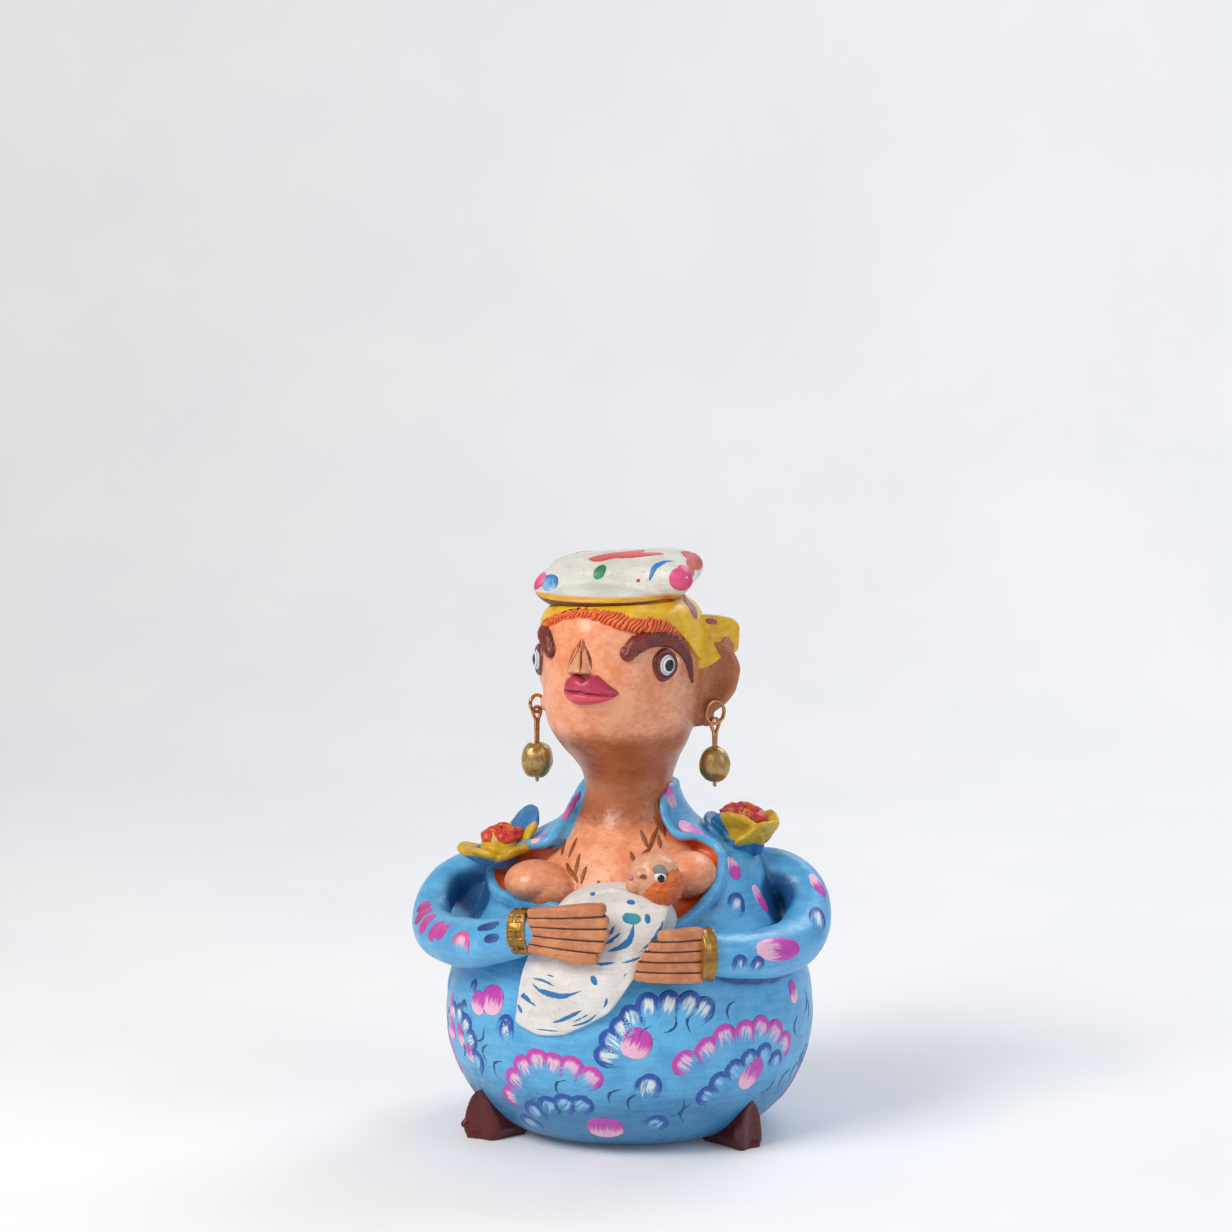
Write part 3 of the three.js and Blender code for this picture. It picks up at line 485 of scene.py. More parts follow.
def dress_radius(z):
    """Radius of the dress at a height: a quarter ellipse up to the widest place, then the shoulders."""
    low = 1 - np.clip(np.asarray(z, float) / POT_WIDEST_Z, 0, 1)
    base = BASE_RADIUS + (POT_RADIUS - BASE_RADIUS) * np.sqrt(1 - low**2)
    return np.where(z < POT_WIDEST_Z, base, np.interp(z, SHOULDER[:, 1], SHOULDER[:, 0]))


def place_on_dress(radius, azimuth, z):
    """A radius turned to an azimuth in degrees, with the upper body pressed flat front to back."""
    azimuth = np.radians(azimuth)
    flat = 1 - CHEST_FLATNESS * (smooth(z, 40, 56) - smooth(z, 62, 70))
    x, y, z = np.broadcast_arrays(radius * np.sin(azimuth), -radius * flat * np.cos(azimuth), z)
    return np.stack([x, y, z], axis=-1)


def on_dress(azimuth, z, out=0.0):
    """Points on the dress, or out from it."""
    return place_on_dress(dress_radius(z) + out, azimuth, z)


def dress_place(points):
    """The azimuth of each point on the dress, and how deep it lies under the dress's round."""
    x, y, z = points.T
    deeper = -y / (1 - CHEST_FLATNESS * (smooth(z, 40, 56) - smooth(z, 62, 70)))
    return np.degrees(np.arctan2(x, deeper)), dress_radius(z) - np.hypot(x, deeper)


def place_on_bust(radius, azimuth, z):
    """A radius turned to an azimuth in degrees. The head is stretched along the face, narrowed across
    it and pushed out at the mouth, while the neck and chest stay round."""
    azimuth = np.radians(azimuth)
    face = np.radians(FACE_TURN)
    share = smooth(z, 76, 90)
    from_mouth = np.arccos(np.clip(np.cos(azimuth - np.radians(MOUTH_AZIMUTH)), -1, 1))
    snout = (SNOUT / 18) * np.exp(-((from_mouth / 0.5) ** 2) - ((z - 97) / 7) ** 2)
    forward = radius * np.cos(azimuth - face) * (1 + (FACE_STRETCH - 1) * share)
    forward = forward + FACE_FORWARD * share + radius * snout
    sideways = radius * np.sin(azimuth - face) * (1 + (FACE_NARROWING - 1) * share)
    x = forward * np.sin(face) + sideways * np.cos(face)
    y = -forward * np.cos(face) + sideways * np.sin(face) + BUST_Y
    x, y, z = np.broadcast_arrays(x, y, z)
    return np.stack([x, y, z], axis=-1)


def on_head(azimuth, z, out=0.0):
    """Points on the head, neck or chest, or out from it."""
    return place_on_bust(np.interp(z, BUST[:, 1], BUST[:, 0]) + out, azimuth, z)


def scarf_edge(azimuth):
    """Height of the headscarf's lower edge at an azimuth: highest at the face, lowest at the nape."""
    turn = np.radians(azimuth - FACE_TURN)
    away = np.arccos(np.clip(np.cos(turn), -1, 1))
    drop = SCARF_EDGE["nape_drop"] * smooth(away, 1.9, 3.1)
    lifted = SCARF_EDGE["lift"] * np.exp(-(((np.degrees(turn) - 66) / 19) ** 2))
    return SCARF_EDGE["mean"] + SCARF_EDGE["swing"] * np.cos(turn) - drop + lifted


# Meshes and objects


def mesh_of(name, shape):
    """A shape as a mesh, in metres, with its numbers as the attribute zone."""
    points, quads, triangles, tags = shape
    mesh = bpy.data.meshes.new(name)
    mesh.from_pydata((points / MM).tolist(), [], quads.tolist() + triangles.tolist())
    mesh.attributes.new("zone", "FLOAT", "POINT").data.foreach_set("value", tags.astype(np.float32))
    return mesh


def in_view(name, mesh):
    """A new object in the scene that holds a mesh."""
    obj = bpy.data.objects.new(name, mesh)
    bpy.context.scene.collection.objects.link(obj)
    return obj


def finished_mesh(obj):
    """The object's mesh with its modifiers worked in, and the object gone."""
    bpy.context.view_layer.update()
    graph = bpy.context.evaluated_depsgraph_get()
    mesh = bpy.data.meshes.new_from_object(obj.evaluated_get(graph))
    bpy.data.objects.remove(obj)
    return mesh


def positions(mesh):
    """A mesh's points in millimetres."""
    flat = np.zeros(len(mesh.vertices) * 3, np.float32)
    mesh.vertices.foreach_get("co", flat)
    return flat.reshape(-1, 3).astype(float) * MM


def directions(mesh):
    """The directions straight out of a mesh at its points."""
    flat = np.zeros(len(mesh.vertices) * 3, np.float32)
    mesh.vertices.foreach_get("normal", flat)
    return flat.reshape(-1, 3).astype(float)


def move_points(mesh, points):
    """Puts a mesh's points at new places, in millimetres."""
    mesh.vertices.foreach_set("co", (points / MM).astype(np.float32).ravel())
    mesh.update()


def write(mesh, name, values):
    """Stores one number for each point as an attribute."""
    attribute = mesh.attributes.get(name) or mesh.attributes.new(name, "FLOAT", "POINT")
    attribute.data.foreach_set("value", np.asarray(values, np.float32).ravel())


def numbers(mesh, name):
    """One stored number for every point of a mesh."""
    values = np.zeros(len(mesh.vertices), np.float32)
    mesh.attributes[name].data.foreach_get("value", values)
    return values


def relaxed(mesh, passes):
    """A copy of a mesh smoothed over."""
    draft = in_view("draft", mesh.copy())
    calm = draft.modifiers.new("Calm", "SMOOTH")
    calm.factor = 0.5
    calm.iterations = passes
    return finished_mesh(draft)


def fused(name, shapes, cube, passes=3):
    """One skin round overlapping shapes: their outside is found again on a grid of small cubes and
    smoothed a little, as wet clay joins are."""
    draft = in_view(name, mesh_of(name, joined(shapes)))
    remesh = draft.modifiers.new("Fuse", "REMESH")
    remesh.mode = "VOXEL"
    remesh.voxel_size = cube / MM
    calm = draft.modifiers.new("Calm", "SMOOTH")
    calm.factor = 0.5
    calm.iterations = passes
    mesh = finished_mesh(draft)
    mesh.name = name
    return mesh


def hand_worked(mesh, lump, lump_size, grain, grain_size, seed):
    """Moves a mesh's points in and out by broad lumps and finer grain, as fingers leave clay."""
    points = positions(mesh)
    push = lump * noise(points, lump_size, seed) + grain * noise(points, grain_size, seed + 7)
    move_points(mesh, points + push[:, None] * directions(mesh))


def grounded(mesh):
    """Presses what reaches below the ground flat on it, and gives the mesh's points."""
    points = positions(mesh)
    points[:, 2] = np.maximum(points[:, 2], 0.0)
    move_points(mesh, points)
    return points


def mark_hollows(mesh, passes):
    """Stores how deep each point lies below the mesh smoothed over, in millimetres, where wet paint
    gathers and where painted shade darkens the paint."""
    calm = relaxed(mesh, passes)
    depth = np.sum((positions(calm) - positions(mesh)) * directions(mesh), axis=1)
    write(mesh, "hollow", depth)
    bpy.data.meshes.remove(calm)


def darken(mesh, share):
    """Adds painted shade to a crease: the hollows become at least that share of a millimetre deep."""
    write(mesh, "hollow", np.maximum(numbers(mesh, "hollow"), share))


def settle(obj, material):
    """Finishes a piece: soft shading, its material and its body."""
    obj.data.shade_smooth()
    obj.data.materials.clear()
    obj.data.materials.append(material)
    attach(obj, "root")
    return obj


def piece(name, shapes, material, passes=12):
    """A piece from shapes that only touch or overlap. Without passes, each shape's own numbers tell
    how deep its hollows are."""
    shape = joined(shapes)
    mesh = mesh_of(name, shape)
    if passes:
        mark_hollows(mesh, passes)
    else:
        write(mesh, "hollow", shape[3])
    return settle(in_view(name, mesh), material)


def laid_on(target, points):
    """The nearest places on a piece's surface, and the directions straight out of it there."""
    layers = []
    for offset in (0.0, 1.0):
        mesh = bpy.data.meshes.new("draft")
        mesh.from_pydata((points / MM).tolist(), [], [])
        draft = in_view("draft", mesh)
        wrap = draft.modifiers.new("Wrap", "SHRINKWRAP")
        wrap.target = target
        wrap.wrap_method = "NEAREST_SURFACEPOINT"
        wrap.wrap_mode = "ABOVE_SURFACE"
        wrap.offset = offset / MM
        layers.append(positions(finished_mesh(draft)))
    return layers[0], unit(layers[1] - layers[0])


# Materials


def add(tree, kind, inputs=None, **settings):
    """Adds a node with its settings, and fills its inputs with values or with other nodes' outputs."""
    node = tree.nodes.new(kind)
    for key, value in settings.items():
        setattr(node, key, value)
    for key, value in (inputs or {}).items():
        if isinstance(value, bpy.types.NodeSocket):
            tree.links.new(value, node.inputs[key])
        else:
            node.inputs[key].default_value = value
    return node


def blended(tree, share, low, high):
    """Two colours mixed by a share."""
    return add(tree, "ShaderNodeMix", {0: share, 6: low, 7: high}, data_type="RGBA").outputs[2]


def stepped(tree, value, low, high, to_low=0.0, to_high=1.0):
    """A value eased from to_low at low to to_high at high."""
    inputs = {"Value": value, "From Min": low, "From Max": high, "To Min": to_low, "To Max": to_high}
    return add(tree, "ShaderNodeMapRange", inputs, interpolation_type="SMOOTHSTEP").outputs[0]


def worked(tree, operation, *values):
    """The result of one sum, product or other calculation."""
    return add(tree, "ShaderNodeMath", dict(enumerate(values)), operation=operation).outputs[0]


def mottling(tree, place, size, stretch=(1, 1, 1), detail=3.0):
    """Uneven blotches of a size in millimetres, drawn out along an axis where stretch is under 1."""
    spread = add(tree, "ShaderNodeMapping", {"Vector": place, "Scale": stretch}).outputs[0]
    inputs = {"Vector": spread, "Scale": MM / size, "Detail": detail, "Roughness": 0.6}
    return add(tree, "ShaderNodeTexNoise", inputs).outputs["Fac"]


def read(tree, name):
    """The attribute of that name."""
    return add(tree, "ShaderNodeAttribute", attribute_name=name).outputs["Fac"]


def paint_colour(tree, place, paint):
    """Craft paint brushed over clay: its ground goes to a second shade in blotches and along brush
    hairs, other colours cover what lies past an attribute's threshold, and a darker colour, partly paint
    pooled there and partly painted shade, is left in the hollows and rubbed off the high places."""
    hairs = mottling(tree, place, 0.9, paint.get("stretch", (0.12, 0.12, 1)))
    blotches = mottling(tree, place, paint.get("blotch", 7.0))
    uneven = worked(tree, "MULTIPLY_ADD", hairs, 0.45, worked(tree, "MULTIPLY", blotches, 0.75))
    colour = blended(tree, stepped(tree, uneven, 0.45, 0.75), linear(paint["ground"]), linear(paint["shade"]))
    for attribute, low, high, ground, shade in paint.get("zones", ()):
        other = blended(tree, stepped(tree, uneven, 0.45, 0.75), linear(ground), linear(shade))
        ragged = worked(tree, "MULTIPLY_ADD", hairs, 0.5 * (high - low), read(tree, attribute))
        colour = blended(tree, stepped(tree, ragged, low, high), colour, other)
    # painted shade, partly pooled paint: the deeper a hollow, the darker its colour
    depth = worked(tree, "MULTIPLY_ADD", blotches, 0.1, read(tree, "hollow"))
    low, high = paint.get("wash_and_shade_depth", (0.1, 0.42))
    colour = blended(tree, stepped(tree, depth, low, high), colour, linear(paint["wash_and_shade"]))
    rubbed = stepped(tree, depth, -0.25, 0.02, paint.get("rub", 0.35), 0.0)
    return blended(tree, rubbed, colour, linear(paint.get("high", paint["ground"])))


def surface(tree, colour, place, paint):
    """The shader: satin paint whose gloss varies, with brush hairs, dabs and pores in its relief."""
    rough = paint.get("rough", 0.42)
    gloss = stepped(tree, mottling(tree, place, 2.6), 0.3, 0.7, rough - 0.07, rough + 0.1)
    hairs = mottling(tree, place, 0.42, paint.get("stretch", (0.12, 0.12, 1)), 2.0)
    dabs = mottling(tree, place, 2.2, detail=4.0)
    pores = stepped(tree, mottling(tree, place, 0.55, detail=1.0), 0.24, 0.36)
    bump = None
    grain = paint.get("grain", 1.0)
    for height, distance in ((hairs, 0.07 * grain), (dabs, paint.get("dab", 0.16)), (pores, 0.08 * grain)):
        inputs = {"Height": height, "Strength": 1.0, "Distance": distance / MM}
        if bump is not None:
            inputs["Normal"] = bump
        bump = add(tree, "ShaderNodeBump", inputs).outputs[0]
    inputs = {
        "Base Color": colour, "Roughness": gloss, "Normal": bump, "IOR": 1.5,
        "Metallic": paint.get("metal", 0.0), "Coat Weight": paint.get("coat", 0.18), "Coat Roughness": 0.22,
    }
    shader = add(tree, "ShaderNodeBsdfPrincipled", inputs).outputs[0]
    add(tree, "ShaderNodeOutputMaterial", {"Surface": shader})


def new_material(name):
    """An empty node material, its tree and its place in the object's own coordinates."""
    material = bpy.data.materials.new(name)
    material.use_nodes = True
    tree = material.node_tree
    tree.nodes.clear()
    return material, tree, add(tree, "ShaderNodeTexCoord").outputs["Object"]


def painted(name, paint):
    """Painted clay as a material."""
    material, tree, place = new_material(name)
    surface(tree, paint_colour(tree, place, paint), place, paint)
    return material


def brushed(name, paint):
    """The same painted clay with brush strokes over it. Each stroke's colour is full along its rim,
    streaks to the pale load of the brush inside it, and where the stroke fades it dries out along
    the hairs until the ground shows."""
    material, tree, place = new_material(name)
    ground = paint_colour(tree, place, paint)
    along = add(tree, "ShaderNodeUVMap", uv_map="stroke").outputs[0]
    streaks = mottling(tree, along, 0.5, (1, 0.14, 1), 2.0)
    ragged = mottling(tree, along, 0.9, (1, 0.6, 1), 2.0)
    edge = worked(tree, "MULTIPLY_ADD", ragged, 0.9, worked(tree, "SUBTRACT", read(tree, "edge"), 0.46))
    deep = worked(tree, "MULTIPLY_ADD", streaks, 1.5, worked(tree, "SUBTRACT", read(tree, "edge"), 0.75))
    fill = add(tree, "ShaderNodeAttribute", attribute_name="fill").outputs["Color"]
    load = add(tree, "ShaderNodeAttribute", attribute_name="load").outputs["Color"]
    fade = read(tree, "fade")
    inner = stepped(tree, worked(tree, "MULTIPLY", deep, fade), 1.2, 2.1)
    swept = worked(tree, "MULTIPLY_ADD", streaks, 0.9, worked(tree, "SUBTRACT", read(tree, "reach"), 0.45))
    solid = stepped(tree, swept, 0.4, 0.75)
    mixed = worked(tree, "MAXIMUM", inner, worked(tree, "MULTIPLY", solid, read(tree, "mottle")))
    colour = blended(tree, mixed, fill, load)
    dry = worked(tree, "MULTIPLY_ADD", streaks, -1.1, worked(tree, "ADD", read(tree, "reach"), 0.55))
    left = stepped(tree, dry, 0.36, 0.66, 1.0, 0.0)
    gaps = stepped(tree, streaks, 0.38, 0.5)
    thin = blended(tree, inner, (1, 1, 1, 1), gaps)
    cover = worked(tree, "MULTIPLY", stepped(tree, edge, 0.02, 0.16), thin)
    faded = blended(tree, fade, (1, 1, 1, 1), left)
    colour = blended(tree, worked(tree, "MULTIPLY", cover, faded), ground, colour)
    surface(tree, colour, place, paint)
    return material


# Paints, each named for what it is made of and how it was laid on

SKY_PAINT = {
    # sky-blue acrylic craft paint brushed round the pot, darker in the joins, partly paint pooled there and
    # partly painted shade
    "ground": "#60b4e4", "shade": "#4a9ed4", "wash_and_shade": "#175488", "high": "#80c8ee", "rough": 0.4,
    # the low zone is painted shade, darker towards the bottom; the inside zone is the neckline's orange
    # lining
    "zones": [("low", 0.3, 1.0, "#3c88b6", "#3076a6"), ("inside", 0.0, 0.3, "#dd6a30", "#cf5520")],
}
SKIN_PAINT = {
    # peach acrylic, varnished; darker terracotta in the hollows, partly paint pooled there and partly painted
    # shade
    "ground": "#f1a981", "shade": "#e38c60", "wash_and_shade": "#a8471f", "high": "#f8c4a2", "rough": 0.36,
    # the tan zone is painted shade under the jaw, on the head's left side and in the chest's hollow, with
    # some deeper paint on the neck
    "zones": [("tan", 0.2, 0.9, "#b36a42", "#9f5832")], "wash_and_shade_depth": (0.1, 0.5), "blotch": 6.0,
    "stretch": (0.5, 0.5, 1),
}
LIP_PAINT = {
    # crimson above the mouth line and coral below it, glossier than the skin
    "ground": "#bd3456", "shade": "#ae2b4c", "wash_and_shade": "#7a1730", "high": "#dd6f88", "rough": 0.4,
    "zones": [("below", 0.0, 0.5, "#dc5068", "#d2425a")], "wash_and_shade_depth": (0.12, 0.5), "rub": 0.15,
}
BROW_PAINT = {
    # maroon paint, nearly black in the scratched hairs
    "ground": "#84342a", "shade": "#6e241c", "wash_and_shade": "#3a0e0a", "high": "#944438", "rough": 0.4,
    "wash_and_shade_depth": (0.12, 0.4), "rub": 0.0,
}
HAIR_PAINT = {
    # orange paint over clay scratched into short locks
    "ground": "#ee7230", "shade": "#e45c20", "wash_and_shade": "#ac4014", "high": "#f6954e",
    "wash_and_shade_depth": (0.12, 0.4), "rub": 0.0,
}
SCARF_PAINT = {
    # chrome-yellow paint, orange in its folds, partly the orange underpaint and partly painted shade
    "ground": "#efc61b", "shade": "#e0a613", "wash_and_shade": "#a05012", "high": "#f6d840", "rough": 0.44,
    "wash_and_shade_depth": (0.12, 0.5), "blotch": 5.0,
}
CUSHION_PAINT = {
    # chalky white paint on top, thin yellow and orange below
    "ground": "#dcdcd4", "shade": "#c9c8c0", "wash_and_shade": "#5c3016", "high": "#ecebe4", "rough": 0.5,
    "zones": [("under", -0.4, 0.5, "#d98e2a", "#dcb01e")], "wash_and_shade_depth": (0.2, 0.6), "blotch": 8.0,
}
HAND_PAINT = {
    # bare terracotta colour, dark brown in the lines between the fingers, partly slip and partly painted
    # shade
    "ground": "#cf8b60", "shade": "#b9724a", "wash_and_shade": "#3f1a0c", "high": "#dea67e", "rough": 0.55,
    "coat": 0.0, "wash_and_shade_depth": (0.1, 0.28), "stretch": (0.15, 1, 1), "blotch": 3.0,
}
GOLD_PAINT = {
    # bronze-powder paint over brown clay, bright where it was rubbed
    "ground": "#b58b46", "shade": "#8d6630", "wash_and_shade": "#3b240f", "high": "#e0bd78", "rough": 0.36,
    "metal": 0.75, "coat": 0.0, "wash_and_shade_depth": (0.03, 0.16), "rub": 0.8,
}
BLANKET_PAINT = {
    # off-white paint, thin enough for the clay to warm it
    "ground": "#e6e4e2", "shade": "#d8d4d0", "wash_and_shade": "#8d7468", "high": "#f2f1ef", "rough": 0.52,
    "coat": 0.05, "wash_and_shade_depth": (0.15, 0.6), "blotch": 6.0,
}
BABY_PAINT = {
    # tan paint, darker terracotta round the nose and cheek, partly paint pooled there and partly painted
    # shade
    "ground": "#e4ad8a", "shade": "#d49472", "wash_and_shade": "#7a3418", "high": "#f0c4a8", "rough": 0.4,
    "wash_and_shade_depth": (0.05, 0.25), "blotch": 2.5,
}
BABY_HAIR_PAINT = {
    # orange dabbed unevenly over tan, with pale specks on the high places
    "ground": "#d96e26", "shade": "#c95a1c", "wash_and_shade": "#a0461a", "high": "#eeb070", "rough": 0.45,
    "wash_and_shade_depth": (0.08, 0.3), "rub": 0.6, "blotch": 1.4,
}
ROSE_PAINT = {
    # yellow petals with the dress's blue brushed up their backs
    "ground": "#d3b016", "shade": "#bd9312", "wash_and_shade": "#6b4a10", "high": "#e8d044",
    "zones": [("back", -0.25, 0.15, "#2f7fba", "#2468a2")], "wash_and_shade_depth": (0.15, 0.55), "blotch": 3.0,
}
HEART_PAINT = {
    # vermilion dabbed on the crumpled heart, yellow where the brush missed
    "ground": "#cc3038", "shade": "#cc5228", "wash_and_shade": "#5a0f10", "high": "#e6a830",
    "wash_and_shade_depth": (0.04, 0.2), "blotch": 1.6, "rub": 0.8,
}
SHOE_PAINT = {
    # oxblood enamel, thick and glossy
    "ground": "#5a0806", "shade": "#470504", "wash_and_shade": "#1c0302", "high": "#6e0f0c", "rough": 0.14,
    "coat": 0.0, "dab": 0.05, "grain": 0.15, "rub": 0.1,
}
STROKE_PAINT = {
    # brown-gold paint over scratched clay
    "ground": "#96501f", "shade": "#7d3c14", "wash_and_shade": "#4c1e0a", "high": "#c98a50", "rough": 0.45,
}
WIRE_METAL = {
    # enamelled copper wire, drawn smooth
    "ground": "#cf9a62", "shade": "#a8723e", "wash_and_shade": "#5c3618", "high": "#ecc398", "rough": 0.26,
    "metal": 1.0, "coat": 0.0, "dab": 0.03,
}
BEAD_PAINT = {
    # gilt paint worn through to brown clay
    "ground": "#c6a468", "shade": "#927448", "wash_and_shade": "#4a3018", "high": "#f0dcb0", "rough": 0.34,
    "metal": 0.6, "coat": 0.0, "blotch": 2.4, "wash_and_shade_depth": (0.04, 0.2), "rub": 0.9, "stretch": (1, 1, 0.5),
}


# Sizes that a user may change


def length(name, description, value):
    """A length in millimetres as a property in metres."""
    return FloatProperty(name=name, description=description, default=value / MM, unit="LENGTH", precision=5)


class FIGURINE_PG_clay(bpy.types.PropertyGroup):
    """How coarse the modelled clay is"""
    dress_cube: length("Dress grid", "Spacing of the dress's surface grid", 0.6)
    skin_cube: length("Skin grid", "Spacing of the skin's surface grid", 0.4)
    lump: length("Lumps", "Height of the finger-made lumps on the dress", 0.2)
    neckline_depth: length("Neckline depth", "How deep the open neckline is sunk", 9.0)
    rim: length("Rim", "Radius of the rolled neckline rim", 1.25)


class FIGURINE_PG_details(bpy.types.PropertyGroup):
    """Counts and heights of the modelled details"""
    fingers: IntProperty(name="Fingers", description="Fingers on each hand", default=5, min=3, max=6)
    hair_spacing: length("Hair spacing", "Distance between the scratched locks", 0.95)
    stroke_height: length("Paint thickness", "How far a brush stroke stands up", 0.14)


class FIGURINE_PG_stage(bpy.types.PropertyGroup):
    """The pale surroundings and the lights"""
    floor: FloatVectorProperty(
        name="Floor", description="Colour of the sweep", subtype="COLOR", size=4, default=linear("#f4f5f7"))
    key: FloatProperty(name="Key light", description="Power of the main light", default=5.9, unit="POWER")
    fill: FloatProperty(name="Fill light", description="Power of the fill light", default=1.0, unit="POWER")


# Pieces


def neckline_loop():
    """The neckline as a closed outline of length round the dress and height."""
    loop = spline(NECKLINE, 120, closed=True)
    return loop * (np.radians(1) * NECKLINE_GIRTH, 1)


def inside_neckline(azimuth, z):
    """How far inside the neckline a place on the dress lies, in millimetres."""
    return distance_inside(azimuth * np.radians(1) * NECKLINE_GIRTH, z, neckline_loop())


def make_pot(depth):
    """The pot: its outline turned round Z. Inside the neckline it's sunk as a quarter circle over
    the first 7 mm from the edge."""
    base = np.radians(np.linspace(0, 90, 60))
    wide = BASE_RADIUS + (POT_RADIUS - BASE_RADIUS) * np.sin(base)
    low = np.stack([wide, POT_WIDEST_Z * (1 - np.cos(base))], 1)
    outline = np.vstack([[(1, 0)], low, SHOULDER[1:], [(1, COLLAR_TOP_Z)]])
    radius, z = evenly(outline, 250).T[:, :, None]
    azimuth = np.linspace(-180, 180, 440, endpoint=False)[None]
    inside = inside_neckline(azimuth, z + 0 * azimuth)
    sink = depth * np.sqrt(1 - (1 - np.clip(inside / 7, 0, 1)) ** 2)
    return closed_grid(place_on_dress(np.maximum(radius - sink, 0.5), azimuth, z))


def make_rim(radius):
    """The rolled rim along the neckline and round the back of the collar."""
    front = on_dress(*np.array(NECKLINE[1:-1], float).T, -0.1)
    back = on_dress(np.array(COLLAR_BACK, float), COLLAR_TOP_Z - 0.8, -0.4)
    path = spline(np.vstack([front, back]), 300, closed=True)
    outward = unit(path * (1, 1, 0))
    thick = radius * (1 + 0.12 * noise(path, 6, 3)) * (1 - 0.35 * smooth(path[:, 2], 63, 69))
    return rope(path, thick, 20, outward, looped=True)


def make_arm(points, radii):
    """An arm: a rope of clay along its path, its thickness read between the given radii."""
    path = spline(points, 90)
    share = np.linspace(0, len(radii) - 1, 90)
    return rope(path, np.interp(share, range(len(radii)), radii), 48)


def make_dress(clay):
    """The dress: pot, rim, arms and the clay pressed in behind them, fused to one skin."""
    shapes = [make_pot(clay.neckline_depth * MM), make_rim(clay.rim * MM)]
    shapes += [make_arm(ARM_RIGHT, ARM_RIGHT_RADII), make_arm(ARM_LEFT, ARM_LEFT_RADII)]
    shapes += [ellipsoid(at, radii) for at, radii in ARMPITS]
    mesh = fused("painted_dress", shapes, cube=clay.dress_cube * MM, passes=5)
    hand_worked(mesh, lump=clay.lump * MM, lump_size=9.0, grain=0.05, grain_size=2.4, seed=11)
    points = grounded(mesh)
    mark_hollows(mesh, passes=60)
    # painted shade: the hollows inside the arms darkened
    for pit in ARM_PITS:
        darken(mesh, 0.62 * np.exp(-(np.linalg.norm(points - pit, axis=1) / 6.5) ** 4))
    azimuth, deep = dress_place(points)
    lining = np.minimum(inside_neckline(azimuth, points[:, 2]) + 1.2, deep - 0.25)
    lining = lining - 9 * smooth(-azimuth, 30, 44) * smooth(points[:, 2], 61, 64)
    write(mesh, "inside", lining)
    # painted shade: the dress darker towards the bottom
    write(mesh, "low", 1 - smooth(points[:, 2], 3, 24))
    write(mesh, "hollow", np.minimum(numbers(mesh, "hollow"), 9 - 9 * smooth(lining, -0.6, 0.1)))
    dress = settle(in_view("painted_dress", mesh), painted("sky-blue craft paint on clay", SKY_PAINT))
    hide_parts("clay_figure")


def face_relief(azimuth, z):
    """Height of the face's own relief: a wedge of a nose that rises from its apex to its base, its
    flat front bounded by two scratched grooves, and a scratch below the lower lip."""
    across = np.abs(azimuth - NOSE["azimuth"]) * np.radians(1) * FACE_GIRTH
    down = (NOSE["apex_z"] - z) / (NOSE["apex_z"] - NOSE["base_z"])
    inside = np.clip(down, 0, 1)
    front = NOSE["half_face"] * inside
    flank = 1 - smooth(across, front, NOSE["half_base"] * inside + 0.4)
    wedge = NOSE["height"] * inside**1.1 * flank * (1 - smooth(down, 0.98, 1.1))
    along = smooth(down, -0.02, 0.1) * (1 - smooth(down, 0.98, 1.06))
    grooves = 0.55 * np.exp(-(((across - front - 0.15) / 0.34) ** 2)) * along
    chin = (azimuth - MOUTH_AZIMUTH - 3) * np.radians(1) * FACE_GIRTH
    scratch = 0.5 * np.exp(-(((z - 93.6 - 0.06 * chin**2) / 0.45) ** 2))
    scratch = scratch * (1 - smooth(np.abs(chin), 2.6, 4.4))
    cheek = 0.5 * np.exp(-(((azimuth - 20) / 16) ** 2) - ((z - 99) / 5) ** 2)
    return wedge - grooves - scratch + cheek


def make_head_and_chest():
    """The gourd of neck, head and chest: its outline turned round, with the face's relief on it."""
    outline = evenly(np.vstack([[(2, 46)], BUST, [(7, CROWN_Z + 0.5), (1, CROWN_Z + 0.6)]]), 280)
    radius, z = outline.T[:, :, None]
    azimuth = np.linspace(-180, 180, 360, endpoint=False)[None]
    relief = face_relief(azimuth, z) * smooth(radius, 10, 12)
    return closed_grid(place_on_bust(radius + relief, azimuth, z))


def make_ear(azimuth):
    """An ear: a thick leaf of clay standing out of the head, dished on its front."""
    out = np.radians(azimuth)
    front = -1 if azimuth > 0 else 1

    def place(distance, z, height):
        height = height * front
        x = distance * np.sin(out) + height * np.cos(out)
        y = -distance * np.cos(out) + height * np.sin(out) - 3
        return np.stack([x, y, z], axis=-1)

    def dish(distance, z, share):
        bowl = np.exp(-(((distance - 19.5) / 3.2) ** 2) - ((z - 98.5) / 4.6) ** 2)
        return -1.5 * bowl

    return pad(EAR_OUTLINE, EAR_THICKNESS / 2, EAR_THICKNESS / 2, place, relief=dish)


